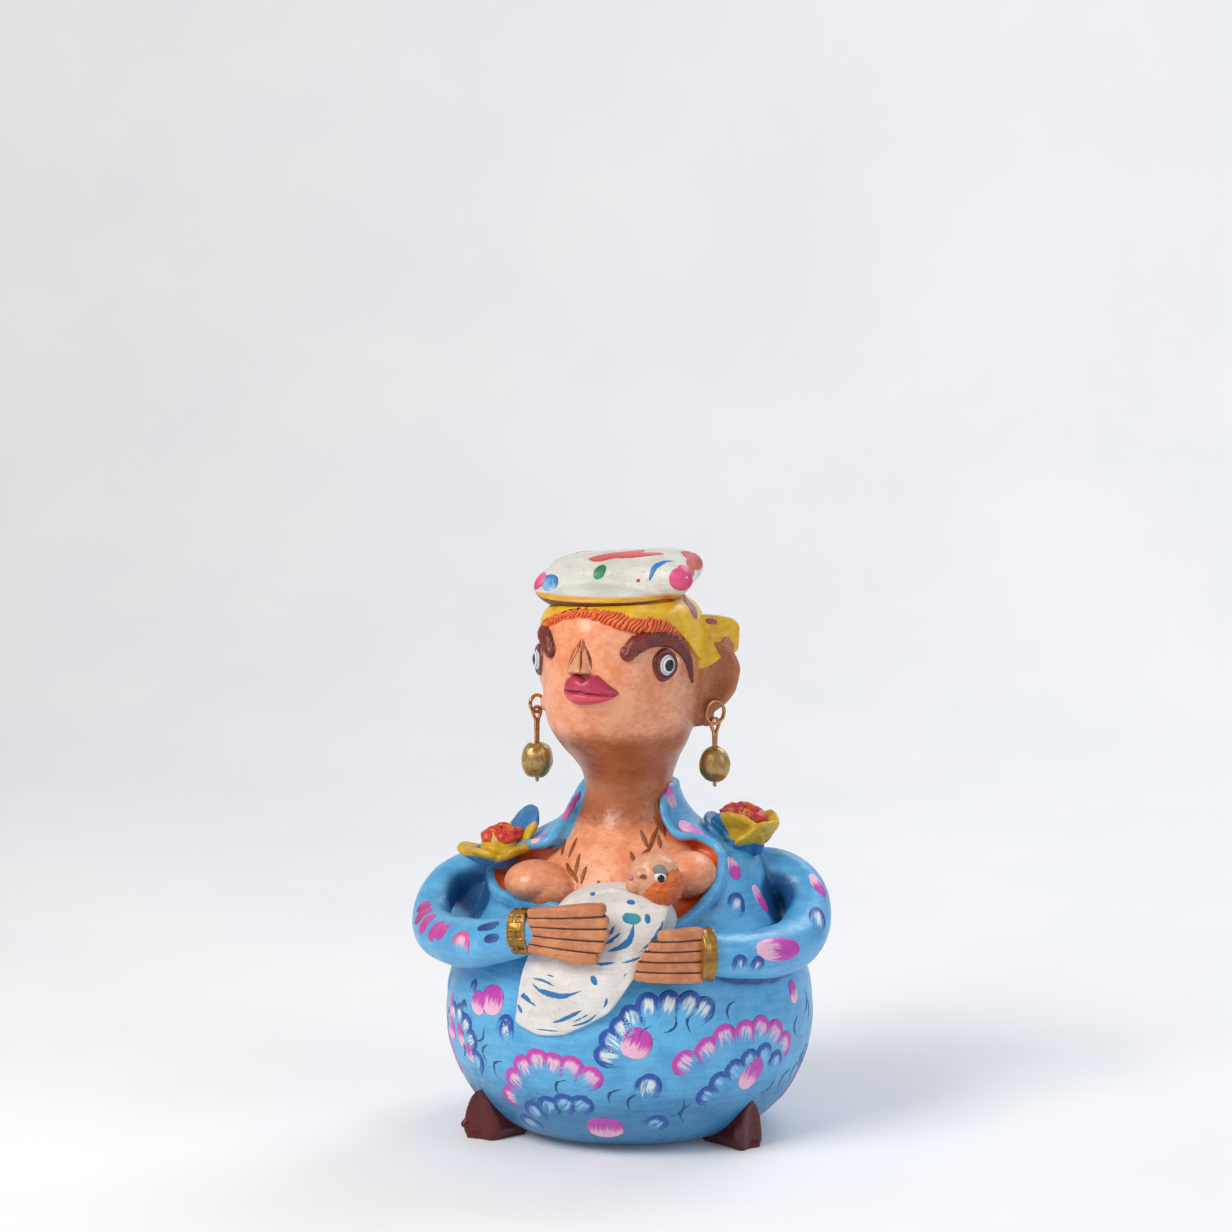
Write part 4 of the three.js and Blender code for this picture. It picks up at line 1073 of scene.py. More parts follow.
def make_bust(clay):
    """The skin: head, neck, chest, breasts and ears, fused to one skin."""
    shapes = [make_head_and_chest(), make_ear(EAR_AZIMUTHS[0]), make_ear(EAR_AZIMUTHS[1])]
    shapes += [ellipsoid(at, radii) for at, radii in BREASTS]
    shapes += [ellipsoid(at, LOBE_RADII) for at in LOBES]
    mesh = fused("skin_bust", shapes, cube=clay.skin_cube * MM, passes=3)
    hand_worked(mesh, lump=0.12, lump_size=6.0, grain=0.05, grain_size=1.8, seed=23)
    mark_hollows(mesh, passes=24)
    x, _, z = positions(mesh).T
    # painted shade in the tan zone: under the jaw, on the head's left side away from the key light, and in
    # the chest's hollow
    neck = smooth(z, 64, 72) * (1 - smooth(z, 84, 92))
    side = smooth(x, 8, 20) * smooth(z, 84, 92)
    bowl = smooth(z, 46, 52) * (1 - smooth(z, 52, 60))
    write(mesh, "tan", 0.85 * neck + 0.7 * side + 0.5 * bowl)
    settle(in_view("skin_bust", mesh), painted("peach varnished paint on clay", SKIN_PAINT))


def make_lips():
    """The lips: a pad on the face in the outline of a cupid's bow, parted by a curved mouth line."""
    def parted(azimuth, z, share):
        line = MOUTH_LINE_Z - 0.9 * smooth(azimuth, -26, 12)
        return -0.8 * np.exp(-(((z - line) / 0.32) ** 2)) * (1 - smooth(share, 0.9, 1))

    return pad(LIPS, front=2.1, back=2.5, place=on_head, around=160, along=80, tension=0.35, relief=parted)


def make_eye(side):
    """An eye: a raised maroon ring with a domed ball in it, turned about the line out of the head.
    The number of each point is its distance from the pupil's middle."""
    azimuth, z = EYES[side]
    outline = np.array([
        (0.1, -2), (EYE_SOCKET, -2), (EYE_SOCKET, 0.5), (EYE_SOCKET - 0.25, 0.95), (EYE_SOCKET - 0.7, 1.1),
        (2.3, 0.8), (2.15, 1.0), (1.5, 1.6), (0.8, 1.9), (0.1, 2.0),
    ])
    radius, height = evenly(outline, 60).T[:, :, None]
    a = np.linspace(0, 2 * np.pi, 64, endpoint=False)[None]
    peak = 1 + 0.12 * np.cos(a - np.radians(80)) ** 8 * smooth(radius, 1, 2.2)
    u, v = radius * np.cos(a) * peak, radius * np.sin(a) * peak
    middle = on_head(azimuth, z)
    outward = unit(on_head(azimuth, z, 4) - middle)
    across = unit(np.cross((0, 0, 1), outward))
    up = np.cross(outward, across)
    points = middle + u[..., None] * across + v[..., None] * up + (height + 0 * a)[..., None] * outward
    shift = 0.55 if side == "left" else -0.2
    distance = np.hypot(u - shift * smooth(2.6 - radius, 0, 0.8), v)
    distance = np.where(height + 0 * a < 0.4, EYE_SOCKET, distance)
    return closed_grid(points, tags=distance)


def make_eyeshine(side):
    """The dab of white beside the eye: a painted highlight that stands for the eye's glint."""
    azimuth, z = EYES[side]
    at = on_head(azimuth + (8.6 if side == "left" else -7), z + 0.8, 1.0)
    return ellipsoid(at, (0.6, 0.6, 0.8), around=24)


def make_brow(side):
    """A brow: a flattened rope over the eye, blunt at the nose and pointed at the temple, with
    slanted hairs pressed into it 1 mm apart."""
    azimuth, z = EYES[side]
    facing = 1 if side == "left" else -1
    arc = np.array(BROW_ARC, float)
    count = 260
    path = spline(on_head(azimuth + facing * arc[:, 0], z + arc[:, 1], 0.25), count)
    t = np.linspace(0, 1, count)
    outward = unit(path - (0, BUST_Y, 104))
    wide = 2.1 * (0.85 + 0.15 * smooth(t, 0, 0.12)) * (1 - 0.1 * t - 0.72 * t**3)
    shape = rope(path, wide, 48, outward, flatness=0.62)
    return scratched(shape, path, sides=48, spacing=0.95, slant=2.4 * facing, depth=0.26)


def eye_material():
    """Enamel rings round the pupil: black, a pale ring, grey, and the maroon rim, by distance in
    millimetres from the pupil's middle."""
    material, tree, place = new_material("black, white and grey enamel")
    away = worked(tree, "MULTIPLY_ADD", mottling(tree, place, 0.8), 0.24, read(tree, "zone"))
    colour = linear("#040405")
    for radius, code in EYE_RINGS:
        colour = blended(tree, stepped(tree, away, radius, radius + 0.12), colour, linear(code))
    surface(tree, colour, place, {"rough": 0.34, "coat": 0.2, "dab": 0.05})
    return material


def make_face():
    """Lips, eyes and brows."""
    lips = mesh_of("lips", make_lips())
    mark_hollows(lips, passes=30)
    write(lips, "below", MOUTH_LINE_Z - 0.5 - positions(lips)[:, 2])
    settle(in_view("lips", lips), painted("crimson gloss paint", LIP_PAINT))
    enamel = eye_material()
    # painted highlight: the white of the dab that stands for each eye's glint
    white = painted("white enamel dab", {**BLANKET_PAINT, "rough": 0.3})
    brows = painted("maroon paint on scratched clay", BROW_PAINT)
    for side in EYES:
        piece(f"{side}_eye", [make_eye(side)], enamel)
        # painted highlight: a white dab for each eye's glint
        piece(f"{side}_eye_highlight_dab", [make_eyeshine(side)], white)
        piece(f"{side}_brow", [make_brow(side)], brows, passes=0)


def make_scarf_shell():
    """The scarf's shell: from the middle of the crown down the head to the lower edge, then back
    inside the head."""
    azimuth = np.linspace(-180, 180, 260, endpoint=False)[None]
    edge = scarf_edge(azimuth) + 0.35 * np.sin(np.radians(azimuth) * 9) * 0.6
    crown = np.linspace(0.04, 1, 30)[:, None]
    top = place_on_bust(np.interp(CROWN_Z, BUST[:, 1], BUST[:, 0]) * crown + SCARF_THICKNESS * crown,
                        azimuth, CROWN_Z + 0.6 + 0.5 * (1 - crown**2))
    down = np.linspace(0, 1, 46)[1:, None]
    fold = 0.22 * np.sin(np.radians(azimuth) * 14 + down * 4) * smooth(down, 0, 0.5)
    side = on_head(azimuth, CROWN_Z + (edge - CROWN_Z) * down, SCARF_THICKNESS + fold)
    inward = on_head(azimuth, edge + 0.6, -1.5)[None].reshape(1, 260, 3)
    last = inward * (0.3, 0.3, 1)
    return closed_grid(np.concatenate([top, side, inward, last]))


def make_flap():
    """The scarf's end, folded out over the left ear as a pointed flap with a hollow fold in it."""
    def place(x, z, height):
        forward = 3.0 * smooth(109 - z, 0, 5)
        return np.stack([x + height * 0.5, x - 17 - forward - height * 0.85, z], axis=-1)

    def fold(x, z, share):
        across = (x - 17) * 0.75 + (z - 108) * 0.66
        return -1.2 * np.exp(-((across / 1.5) ** 2)) * smooth(x, 12, 16) + 0.5 * smooth(share, 0.7, 1)

    return pad(FLAP_OUTLINE, FLAP_THICKNESS / 2, FLAP_THICKNESS / 2, place, tension=0.3, relief=fold)


def make_hair(spacing):
    """The fringe: a flattened rope of clay under the scarf's edge, notched into slanted locks."""
    count = 700
    azimuth = FACE_TURN + np.linspace(*HAIR_SPAN, count)
    path = on_head(azimuth, scarf_edge(azimuth) - 0.9, 0.0)
    t = np.linspace(0, 1, count)
    outward = unit(path - (0, BUST_Y, 100))
    wide = 1.15 + 0.85 * smooth(t, 0.45, 0.72) - 0.9 * smooth(t, 0.84, 1) - 0.4 * smooth(0.1 - t, 0, 0.1)
    wide = wide + 0.24 * noise(np.stack([t * 40, 0 * t, 0 * t], axis=-1), 1.3, 4)
    shape = rope(path, wide, 40, outward, flatness=0.75)
    return scratched(shape, path, sides=40, spacing=spacing, slant=1.0, depth=0.42)


def make_scarf_and_hair(details):
    """Headscarf with its flap, and the fringe."""
    mesh = fused("headscarf", [make_scarf_shell(), make_flap()], cube=0.4, passes=3)
    hand_worked(mesh, lump=0.12, lump_size=4.0, grain=0.04, grain_size=1.4, seed=41)
    mark_hollows(mesh, passes=24)
    # painted shade: the top of the crown, under the cushion, darkened
    darken(mesh, smooth(positions(mesh)[:, 2], CROWN_Z - 0.5, CROWN_Z))
    settle(in_view("headscarf", mesh), painted("chrome-yellow paint on clay", SCARF_PAINT))
    orange = painted("orange paint on scratched clay", HAIR_PAINT)
    piece("hair_fringe", [make_hair(details.hair_spacing * MM)], orange, passes=0)


def make_cushion():
    """The cushion: a squared pillow whose height runs as a cosine and its width as a power of a sine,
    its corners pulled out and its sides drawn in, on a low foot that spreads over the crown."""
    a = np.linspace(0, 2 * np.pi, 220, endpoint=False)[None]
    v = np.linspace(0.012, 0.988, 90)[:, None] * np.pi
    c, s = np.cos(a), np.sin(a)
    square = (0.94 + 0.06 * np.sin(2 * a) ** 6) * (np.abs(c) ** 9 + np.abs(s) ** 9) ** (-1 / 9)
    spread = np.sin(v) ** 0.42 * square
    rise = np.cos(v) * (1 - 0.15 * np.sin(2 * a) ** 2 * np.sin(v))
    rise = rise * np.where(rise > 0, *CUSHION_RISE)
    pillow = np.stack([c * spread * CUSHION_HALF[0], s * spread * CUSHION_HALF[1], rise], axis=-1)
    middle = np.array(CUSHION_AT)
    shapes = [closed_grid(turned(pillow, CUSHION_TILT) + middle), ellipsoid(*CUSHION_FOOT)]
    mesh = fused("head_cushion", shapes, cube=0.45, passes=3)
    hand_worked(mesh, lump=0.25, lump_size=7.0, grain=0.05, grain_size=1.8, seed=53)
    mark_hollows(mesh, passes=30)
    points = positions(mesh) - middle
    lean = np.radians(CUSHION_TILT)
    level = points[:, 2] + np.tan(lean[1]) * points[:, 0] - np.tan(lean[0]) * points[:, 1]
    write(mesh, "under", np.maximum(-level - 3.4, 117.9 - positions(mesh)[:, 2]))
    # painted shade: the cushion's foot darkened where it meets the crown, as a dark crevice
    darken(mesh, 1 - smooth(positions(mesh)[:, 2], CROWN_Z - 0.1, CROWN_Z + 0.6))
    settle(in_view("head_cushion", mesh), painted("white paint on clay", CUSHION_PAINT))


def make_hand(hand, fingers):
    """A hand: flat squarish ropes side by side from the wrist to the finger tips, so that narrow
    grooves stay between them."""
    wrist, tips = np.array(hand["wrist"], float), np.array(hand["tips"], float)
    shapes = []
    for share in np.linspace(-0.5, 0.5, fingers):
        drop = np.array([0, 0, -share])
        start = wrist + drop * hand["spread"]
        stop = wrist + (tips - wrist) * (1 - 0.35 * share**2) + drop * (hand["spread"] + hand["splay"])
        stop = stop - (share * hand["slant"], 0, 0)
        bow = (start + stop) / 2 + (0, -0.6, 0)
        t = np.linspace(0, 1, 50)
        path = spline([start, bow, stop], 50)
        wide = (hand["spread"] + hand["splay"] * t) / (fingers - 1) / 2
        wide = wide * (1.13 - 0.12 * smooth(t, 0.8, 1))
        shapes.append(rope(path, wide, 48, (0, -1, 0), flatness=1.3, power=4.5))
    return shapes


def finger_lines(hand, fingers, points):
    """How near points are to a line between two fingers: 1 on the line, falling as a bell curve."""
    wrist, tips = np.array(hand["wrist"], float), np.array(hand["tips"], float)
    t = np.clip((points[:, 0] - wrist[0]) / (tips[0] - wrist[0]), 0, 1)
    middle = wrist[2] + t * (tips[2] - wrist[2])
    count = (points[:, 2] - middle) / (hand["spread"] + hand["splay"] * t) * (fingers - 1)
    count = count + (fingers - 1) / 2
    near = np.exp(-(((count - np.floor(count) - 0.5) / 0.1) ** 2))
    return near * (count > 0) * (count < fingers - 1)


def make_cuff(cuff):
    """A cuff: a flared band round the wrist, with two rows of square dents pressed into it, or one
    groove round it where the dents are 0."""
    axis = unit(np.array(cuff["axis"], float))
    side = unit(np.cross(axis, (0, 0, 1)))
    up = np.cross(side, axis)
    t = np.linspace(-1, 1, 46)[:, None]
    a = np.linspace(0, 2 * np.pi, 180, endpoint=False)[None]
    flare = (1 - np.abs(t) ** 6) ** (1 / 6) * (1 + 0.07 * np.abs(t) ** 3)
    rows = np.abs(np.sin(t * np.pi)) ** 0.5
    dents = (np.cos(a * cuff["dents"]) > 0.1) * smooth(rows, 0.55, 0.8)
    half = 2.1
    if not cuff["dents"]:
        dents = 0.6 * np.exp(-((t / 0.5) ** 2))
        half = 1.7
    tall, deep = cuff["radii"]
    size = flare - 0.09 * dents + 0 * a
    points = np.array(cuff["at"], float) + half * t[..., None] * axis + 0 * a[..., None]
    points = points + (size * deep * np.cos(a))[..., None] * side + (size * tall * np.sin(a))[..., None] * up
    return closed_grid(points)


def make_hands(details):
    """Hands and cuffs."""
    terracotta = painted("terracotta clay with dark slip", HAND_PAINT)
    gold = painted("bronze-powder paint", GOLD_PAINT)
    for side, hand in HANDS.items():
        mesh = fused(f"{side}_hand", make_hand(hand, details.fingers), cube=0.22, passes=2)
        hand_worked(mesh, lump=0.08, lump_size=3.0, grain=0.03, grain_size=0.9, seed=61)
        mark_hollows(mesh, passes=16)
        # painted shade, partly slip: the lines between the fingers darkened along their length
        darken(mesh, 0.3 * finger_lines(hand, details.fingers, positions(mesh)))
        settle(in_view(f"{side}_hand", mesh), terracotta)
        shape = rumpled(make_cuff(CUFFS[side]), amount=0.12, size=1.6, seed=67)
        piece(f"{side}_cuff", [shape], gold, passes=10)


def blanket_depth(z):
    """How far the blanket hangs in front of the figure's axis at a height."""
    return 41.9 - 6.6 * smooth(z, 38, 60)


def make_blanket_sheet():
    """The blanket: a pad bent round the pot, its upper part swelling over the baby's body, with
    soft folds that run down from the hand."""
    def place(x, z, height):
        radius = blanket_depth(z) - BLANKET_THICKNESS + height
        turn = x / blanket_depth(z)
        return np.stack([radius * np.sin(turn), -radius * np.cos(turn), z], axis=-1)

    def folds(x, z, share):
        drape = 0.3 * np.sin((x * 0.9 + z * 0.55) * 0.9) * smooth(52 - z, 0, 10)
        hem = 0.35 * smooth(share, 0.86, 0.99)
        return drape * (1 - smooth(share, 0.8, 1)) + hem

    return pad(BLANKET_OUTLINE, front=BLANKET_THICKNESS, back=7, place=place, around=200, along=90,
               tension=0.2, relief=folds)


def make_blanket():
    """The blanket round the baby's body."""
    shapes = [make_blanket_sheet(), ellipsoid(*BABY_BODY)]
    mesh = fused("blanket", shapes, cube=0.4, passes=2)
    hand_worked(mesh, lump=0.12, lump_size=5.0, grain=0.04, grain_size=1.6, seed=71)
    mark_hollows(mesh, passes=24)
    settle(in_view("blanket", mesh), painted("off-white paint on clay", BLANKET_PAINT))


# Small dabs of paint on the baby's face: place, radii, points around, paint
BABY_DABS = [
    ("baby_mouth", (4.9, -33.3, 60.5), (0.8, 0.5, 0.55), 32, "pink paint dab",
     {**LIP_PAINT, "ground": "#d9808a", "shade": "#c9707c", "high": "#e29aa2"}),
    ("baby_nostril", (7.6, -35.2, 61.2), (0.7, 0.35, 0.5), 32, "brown slip dab",
     {**HAND_PAINT, "ground": "#8c4a28", "shade": "#7a3c1e"}),
    ("baby_eyelid", (11.0, -34.3, 62.4), (1.5, 0.9, 1.3), 40, "grey paint",
     {**BLANKET_PAINT, "ground": "#8f9296", "shade": "#74777b"}),
    ("baby_eye", (11.1, -34.7, 61.0), (1.35, 0.8, 1.1), 40, "white paint dab",
     {**BLANKET_PAINT, "rough": 0.3}),
    ("baby_pupil", (11.4, -35.25, 60.9), (0.8, 0.5, 0.8), 32, "black paint dab",
     {**SHOE_PAINT, "ground": "#101012", "shade": "#0a0a0c", "high": "#1c1c20"}),
]


def make_baby_hair():
    """The baby's hair: a ball with noisy streaks that run from front to back round it."""
    points, quads, triangles, tags = ellipsoid(*BABY_HAIR, around=160)
    away = unit(points - np.array(BABY_HAIR[0]))
    round_it = np.arctan2(away[:, 2], away[:, 0])
    swirl = noise(np.stack([9 * round_it, 1.2 * away[:, 1], 0 * round_it], axis=-1), 1.0, 5)
    push = 0.14 * swirl + 0.16 * noise(points, 0.8, 5)
    return points + away * push[:, None], quads, triangles, tags


def make_baby():
    """The baby's head: a ball with a nose and cheek, scratched hair round its back, and the dabs of
    its eye, nostril and mouth."""
    shapes = [ellipsoid(*ball) for ball in (BABY_HEAD, BABY_NOSE, BABY_CHEEK)]
    mesh = fused("baby_face", shapes, cube=0.25, passes=4)
    hand_worked(mesh, lump=0.1, lump_size=2.4, grain=0.05, grain_size=0.8, seed=83)
    mark_hollows(mesh, passes=20)
    settle(in_view("baby_face", mesh), painted("tan paint on clay", BABY_PAINT))
    orange = painted("orange paint on scratched curls", BABY_HAIR_PAINT)
    piece("baby_hair", [make_baby_hair()], orange, passes=8)
    for name, at, radii, around, material, paint in BABY_DABS:
        piece(name, [ellipsoid(at, radii, around=around)], painted(material, paint))


def make_petal(azimuth, length, width, lift, cup):
    """A petal: a thick pad whose length lifts and cups upwards, turned to its azimuth."""
    outline = [(0, -0.5), (0.5, -0.95), (1, -0.7), (1.15, 0), (1, 0.7), (0.5, 0.95), (0, 0.5)]
    c, s = np.cos(np.radians(azimuth)), np.sin(np.radians(azimuth))

    def place(x, y, height):
        slope = np.arctan2(lift + 2 * cup * x, length)
        along = x * length - height * np.sin(slope)
        across = y * width * 0.6
        up = lift * x + cup * (x * x + 0.4 * y * y) + height * np.cos(slope)
        return np.stack([along * c - across * s, along * s + across * c, up], axis=-1)

    def crease(x, y, share):
        return -0.3 * np.exp(-((y / 0.16) ** 2)) + 0.25 * smooth(share, 0.8, 1)

    return pad(outline, front=1.1, back=1.1, place=place, around=80, along=36, relief=crease)


def make_rose_heart(middle, radii):
    """A rose's heart: a dome whose folds run round it, waved as the sine of a noisy height."""
    points, quads, triangles, tags = ellipsoid(middle, radii, around=150)
    away = unit(points - np.array(middle))
    round_it = np.arctan2(away[:, 1], away[:, 0])
    fold = np.sin(4 * round_it + 2.4 * noise(points, 2.0, 9) + 3 * away[:, 2])
    push = 0.55 * fold * smooth(away[:, 2], -0.4, 0.3) + 0.35 * noise(points, 0.8, 4)
    return points + push[:, None] * away, quads, triangles, tags


def make_roses():
    """Roses: cupped petals, blue at their feet and yellow above, round a crumpled red heart."""
    yellow = painted("yellow and blue paint on clay petals", ROSE_PAINT)
    red = painted("vermilion paint on crumpled clay", HEART_PAINT)
    for side, rose in ROSES.items():
        middle, radii = rose["heart"]
        foot = np.array(rose["at"], float)
        petals = [make_petal(*petal) for petal in rose["petals"]]
        petals = [rumpled(petal, amount=0.3, size=2.4, seed=5 + k) for k, petal in enumerate(petals)]
        core = ellipsoid((0, 0, middle[2] / 2), (4.4, 4.2, middle[2] / 2 + 2))
        mesh = fused(f"{side}_rose_petals", [*petals, core], cube=0.3, passes=2)
        hand_worked(mesh, lump=0.12, lump_size=3.0, grain=0.05, grain_size=1.2, seed=19)
        mark_hollows(mesh, passes=14)
        local = positions(mesh)
        level = local[:, 2] + 0.5 * noise(local, 2.2, 3) - 0.5 * directions(mesh)[:, 2]
        if side == "right":
            leaf = np.minimum(local[:, 0] - 2.2, local[:, 1] - 0.2)
        else:
            leaf = 0.5 * (9 - level) - local[:, 0] - 5.0
        write(mesh, "back", np.maximum(rose["blue"] - level, 0.9 * leaf))
        move_points(mesh, turned(local, rose["tilt"]) + foot)
        settle(in_view(f"{side}_rose_petals", mesh), yellow)
        shape = make_rose_heart(middle, radii)
        heart = mesh_of(f"{side}_rose_heart", shape)
        mark_hollows(heart, passes=8)
        move_points(heart, turned(shape[0], rose["tilt"]) + foot)
        settle(in_view(f"{side}_rose_heart", heart), red)


def make_shoe(corners, apex):
    """A shoe tip: a three-cornered ring on the ground drawn up to its apex, where the rings shrink
    as (1 - rise^2.5)^0.72, so that it ends bluntly."""
    corners = np.array(corners, float)
    outline = np.stack([corners, (corners + np.roll(corners, -1, axis=0)) / 2], axis=1).reshape(-1, 2)
    edge = spline(outline, 120, closed=True)
    rise = np.linspace(0, 0.985, 60)[:, None, None]
    spread = (1 - rise**2.5) ** 0.72 * (0.8 + 0.2 * smooth(rise, 0, 0.2))
    top = np.array(apex[:2], float)
    flat = top + spread * (edge - top)
    middle = corners.mean(axis=0)
    rings = np.concatenate([flat, np.broadcast_to(apex[2] * rise, (60, 120, 1))], axis=-1)
    sole = np.concatenate([middle + 0.3 * (flat[:1] - middle), np.zeros((1, 120, 1))], axis=-1)
    return closed_grid(np.concatenate([sole, rings]))


def make_shoes():
    """The two shoe tips under the hem, the right one with a little pinched knob."""
    enamel = painted("oxblood enamel", SHOE_PAINT)
    for side, (corners, apex) in SHOES.items():
        shapes = [make_shoe(corners, apex)]
        if side == "right":
            shapes.append(ellipsoid(*SHOE_KNOB, around=32))
        mesh = fused(f"{side}_shoe", shapes, cube=0.32, passes=3)
        hand_worked(mesh, lump=0.15, lump_size=4.0, grain=0.03, grain_size=1.4, seed=91)
        grounded(mesh)
        mark_hollows(mesh, passes=20)
        settle(in_view(f"{side}_shoe", mesh), enamel)


NECKLACE_REACH = 0.3             # how far each stroke runs on past its ends, for its length
NECKLACE = [
    ((-13.1, -9.8, 64.1), (-13.4, -12.5, 62.1)), ((-10.1, -12.3, 63.9), (-10.8, -14.3, 61.6)),
    ((-8.7, -16.4, 61.1), (-9.4, -19.0, 58.9)), ((-6.9, -18.9, 59.1), (-7.4, -19.9, 56.9)),
    ((-3.8, -21.7, 57.1), (-3.8, -23.1, 56.2)), ((-11.3, -16.4, 59.6), (-10.3, -17.9, 58.1)),
    ((-9.8, -18.0, 58.4), (-8.7, -19.4, 56.9)),
    ((6.9, -10.2, 69.0), (8.7, -11.1, 66.7)), ((4.5, -13.7, 66.5), (5.5, -14.9, 64.3)),
    ((7.3, -12.1, 66.6), (6.4, -16.8, 63.7)), ((8.0, -12.6, 65.5), (8.4, -13.9, 63.9)),
    ((2.7, -17.3, 62.5), (3.3, -18.2, 61.0)), ((7.9, -9.7, 72.8), (9.7, -10.9, 69.8)),
    ((9.7, -10.9, 69.8), (10.5, -12.5, 67.9)), ((6.0, -16.0, 63.2), (4.6, -17.4, 61.4)),
]


def make_necklace():
    """The necklace: two rows of short tapered strokes of clay on the chest."""
    ends, outward = laid_on(bpy.data.objects["skin_bust"], np.array(NECKLACE, float).reshape(-1, 3))
    ends = ends.reshape(-1, 2, 3)
    ends = ends + NECKLACE_REACH * (ends - ends[:, ::-1])
    outward = outward.reshape(-1, 2, 3)
    shapes = []
    t = np.linspace(0, 1, 16)
    for (start, stop), (facing, _) in zip(ends, outward):
        path = start + t[:, None] * (stop - start)
        wide = 0.12 + 0.36 * np.sin(np.pi * t) ** 0.7
        stroke = rope(path, wide, 16, facing, flatness=0.8)
        shapes.append(rumpled(stroke, amount=0.08, size=1.1, seed=13))
    piece("necklace_strokes", shapes, painted("brown-gold paint on scratched clay", STROKE_PAINT))


# Brushwork: thin paint laid on the pieces


def strokes_on(name, carrier, strokes, paint, thickness):
    """Brush strokes as thin closed lenses on a piece. A stroke is a grid, u from -1 to 1 across it
    and v from 0 at its tip to 1 at its base. A petal is as wide as a half circle at its tip and
    narrows to its base, and a line tapers as a sine to both ends and bows to one side."""
    tips, bases = (np.array([s[k] for s in strokes], float) for k in (0, 1))
    width, bow, fade, mottle = (np.array([s[k] for s in strokes], float)[:, None, None] for k in (2, 3, 4, 5))
    rows, columns = 17, 9
    u = np.linspace(-1, 1, columns)[None, None]
    v = ((1 - np.cos(np.linspace(0, 1, rows) * np.pi * 0.94)) / (1 - np.cos(np.pi * 0.94)))[None, :, None]
    as_petal = np.sqrt(1 - (1 - np.clip(v / 0.42, 0, 1)) ** 2) * (1 - 0.42 * smooth(v, 0.4, 1))
    as_line = np.sin(np.pi * np.clip(v, 0.02, 0.98)) ** 0.6
    as_dab = np.sqrt(np.clip(1 - (2 * v - 1) ** 2, 0.02, 1)) ** 0.8
    half = width / 2 * np.where(bow != 0, as_line, np.where(fade > 0, 1.12 * as_petal, 1.35 * as_dab))
    along = bases - tips
    length = np.linalg.norm(along, axis=-1)[:, None, None]
    _, outward = laid_on(carrier, (tips + bases) / 2)
    along = unit(along)
    across = unit(np.cross(along, outward))
    sideways = u * half + bow * np.sin(np.pi * v)
    flat = tips[:, None, None] + along[:, None, None] * (v * length)[..., None]
    flat = flat + across[:, None, None] * sideways[..., None]
    flat = flat + outward[:, None, None] * 0.2
    ground, normal = laid_on(carrier, flat.reshape(-1, 3))
    shape = flat.shape
    ground, normal = ground.reshape(shape), normal.reshape(shape)
    rim = np.minimum((1 - np.abs(u)) * half, 0.1 + v * length)
    sunk = np.where(fade > 0, smooth(v, 0.7, 0.86), 0)
    lift = thickness * smooth((1 - np.abs(u)) * half, 0.0, 0.3) * (1 - sunk) - 0.03 - 0.1 * sunk
    top = ground + normal * np.broadcast_to(lift, rim.shape)[..., None]
    low = ground[:, rows // 2, columns // 2] - 0.35 * normal[:, rows // 2, columns // 2]
    count = len(strokes)
    grid = np.arange(rows * columns).reshape(rows, columns)
    quads = np.stack([grid[:-1, :-1], grid[:-1, 1:], grid[1:, 1:], grid[1:, :-1]], axis=-1).reshape(-1, 4)
    border = np.concatenate([grid[0], grid[1:, -1], grid[-1, -2::-1], grid[-2:0:-1, 0]])
    skirt = np.stack([np.roll(border, -1), border, np.full(len(border), rows * columns)], axis=-1)
    each = rows * columns + 1
    starts = (np.arange(count) * each)[:, None, None]
    points = np.concatenate([top.reshape(count, -1, 3), low[:, None]], axis=1).reshape(-1, 3)
    all_quads = (quads[None] + starts).reshape(-1, 4)
    all_skirts = (skirt[None] + starts).reshape(-1, 3)
    mesh = mesh_of(name, shape_of(points, all_quads, all_skirts))

    def spread(values):
        """One value for every point of every stroke, its low point taking the first."""
        values = np.broadcast_to(values, (count, rows, columns)).reshape(count, -1)
        return np.concatenate([values, values[:, :1]], axis=1).ravel()

    stored = {"edge": rim, "reach": v, "fade": fade, "mottle": mottle}
    stored |= {"hollow": 0.0, "inside": -5.0, "under": -5.0, "tan": 0.0}
    for key, values in stored.items():
        write(mesh, key, spread(values))
    # the same painted shade towards the bottom as on the dress
    write(mesh, "low", 1 - smooth(points[:, 2], 3, 24))
    for key, place in (("fill", 6), ("load", 7)):
        colours = np.repeat(np.array([linear(s[place]) for s in strokes], np.float32), each, axis=0)
        mesh.attributes.new(key, "FLOAT_COLOR", "POINT").data.foreach_set("color", colours.ravel())
    seed = np.arange(count)[:, None, None] * 17.3
    uv = np.stack([spread(sideways + seed), spread(v * length + seed)], axis=-1) / MM
    corners = np.zeros(len(mesh.loops), np.int32)
    mesh.loops.foreach_get("vertex_index", corners)
    mesh.uv_layers.new(name="stroke").data.foreach_set("uv", uv[corners].astype(np.float32).ravel())
    settle(in_view(name, mesh), brushed(f"brush strokes on {name}", paint))


def petal(tip, base, width, fill, load):
    """A stroke that fades to its base."""
    return (tip, base, width, 0.0, 1.0, 0.0, fill, load)


def dab(tip, base, width, fill, load, mottle=1.0):
    """A full dab of two mixed paints."""
    return (tip, base, width, 0.0, 0.0, mottle, fill, load)


def line(start, stop, width, bow, fill):
    """A thin curved line."""
    return (start, stop, width, bow, 0.0, 0.0, fill, fill)


def fan(tips, aim, length, width, fill, load):
    """Petals side by side on the pot, all drawn towards one point."""
    tips = np.array(tips, float)
    girth = np.radians(1) * POT_GIRTH
    towards = unit((np.array(aim, float) - tips) * (girth, 1))
    bases = tips + towards * length / (girth, 1)
    return [petal(on_dress(*tip), on_dress(*base), width, fill, load) for tip, base in zip(tips, bases)]


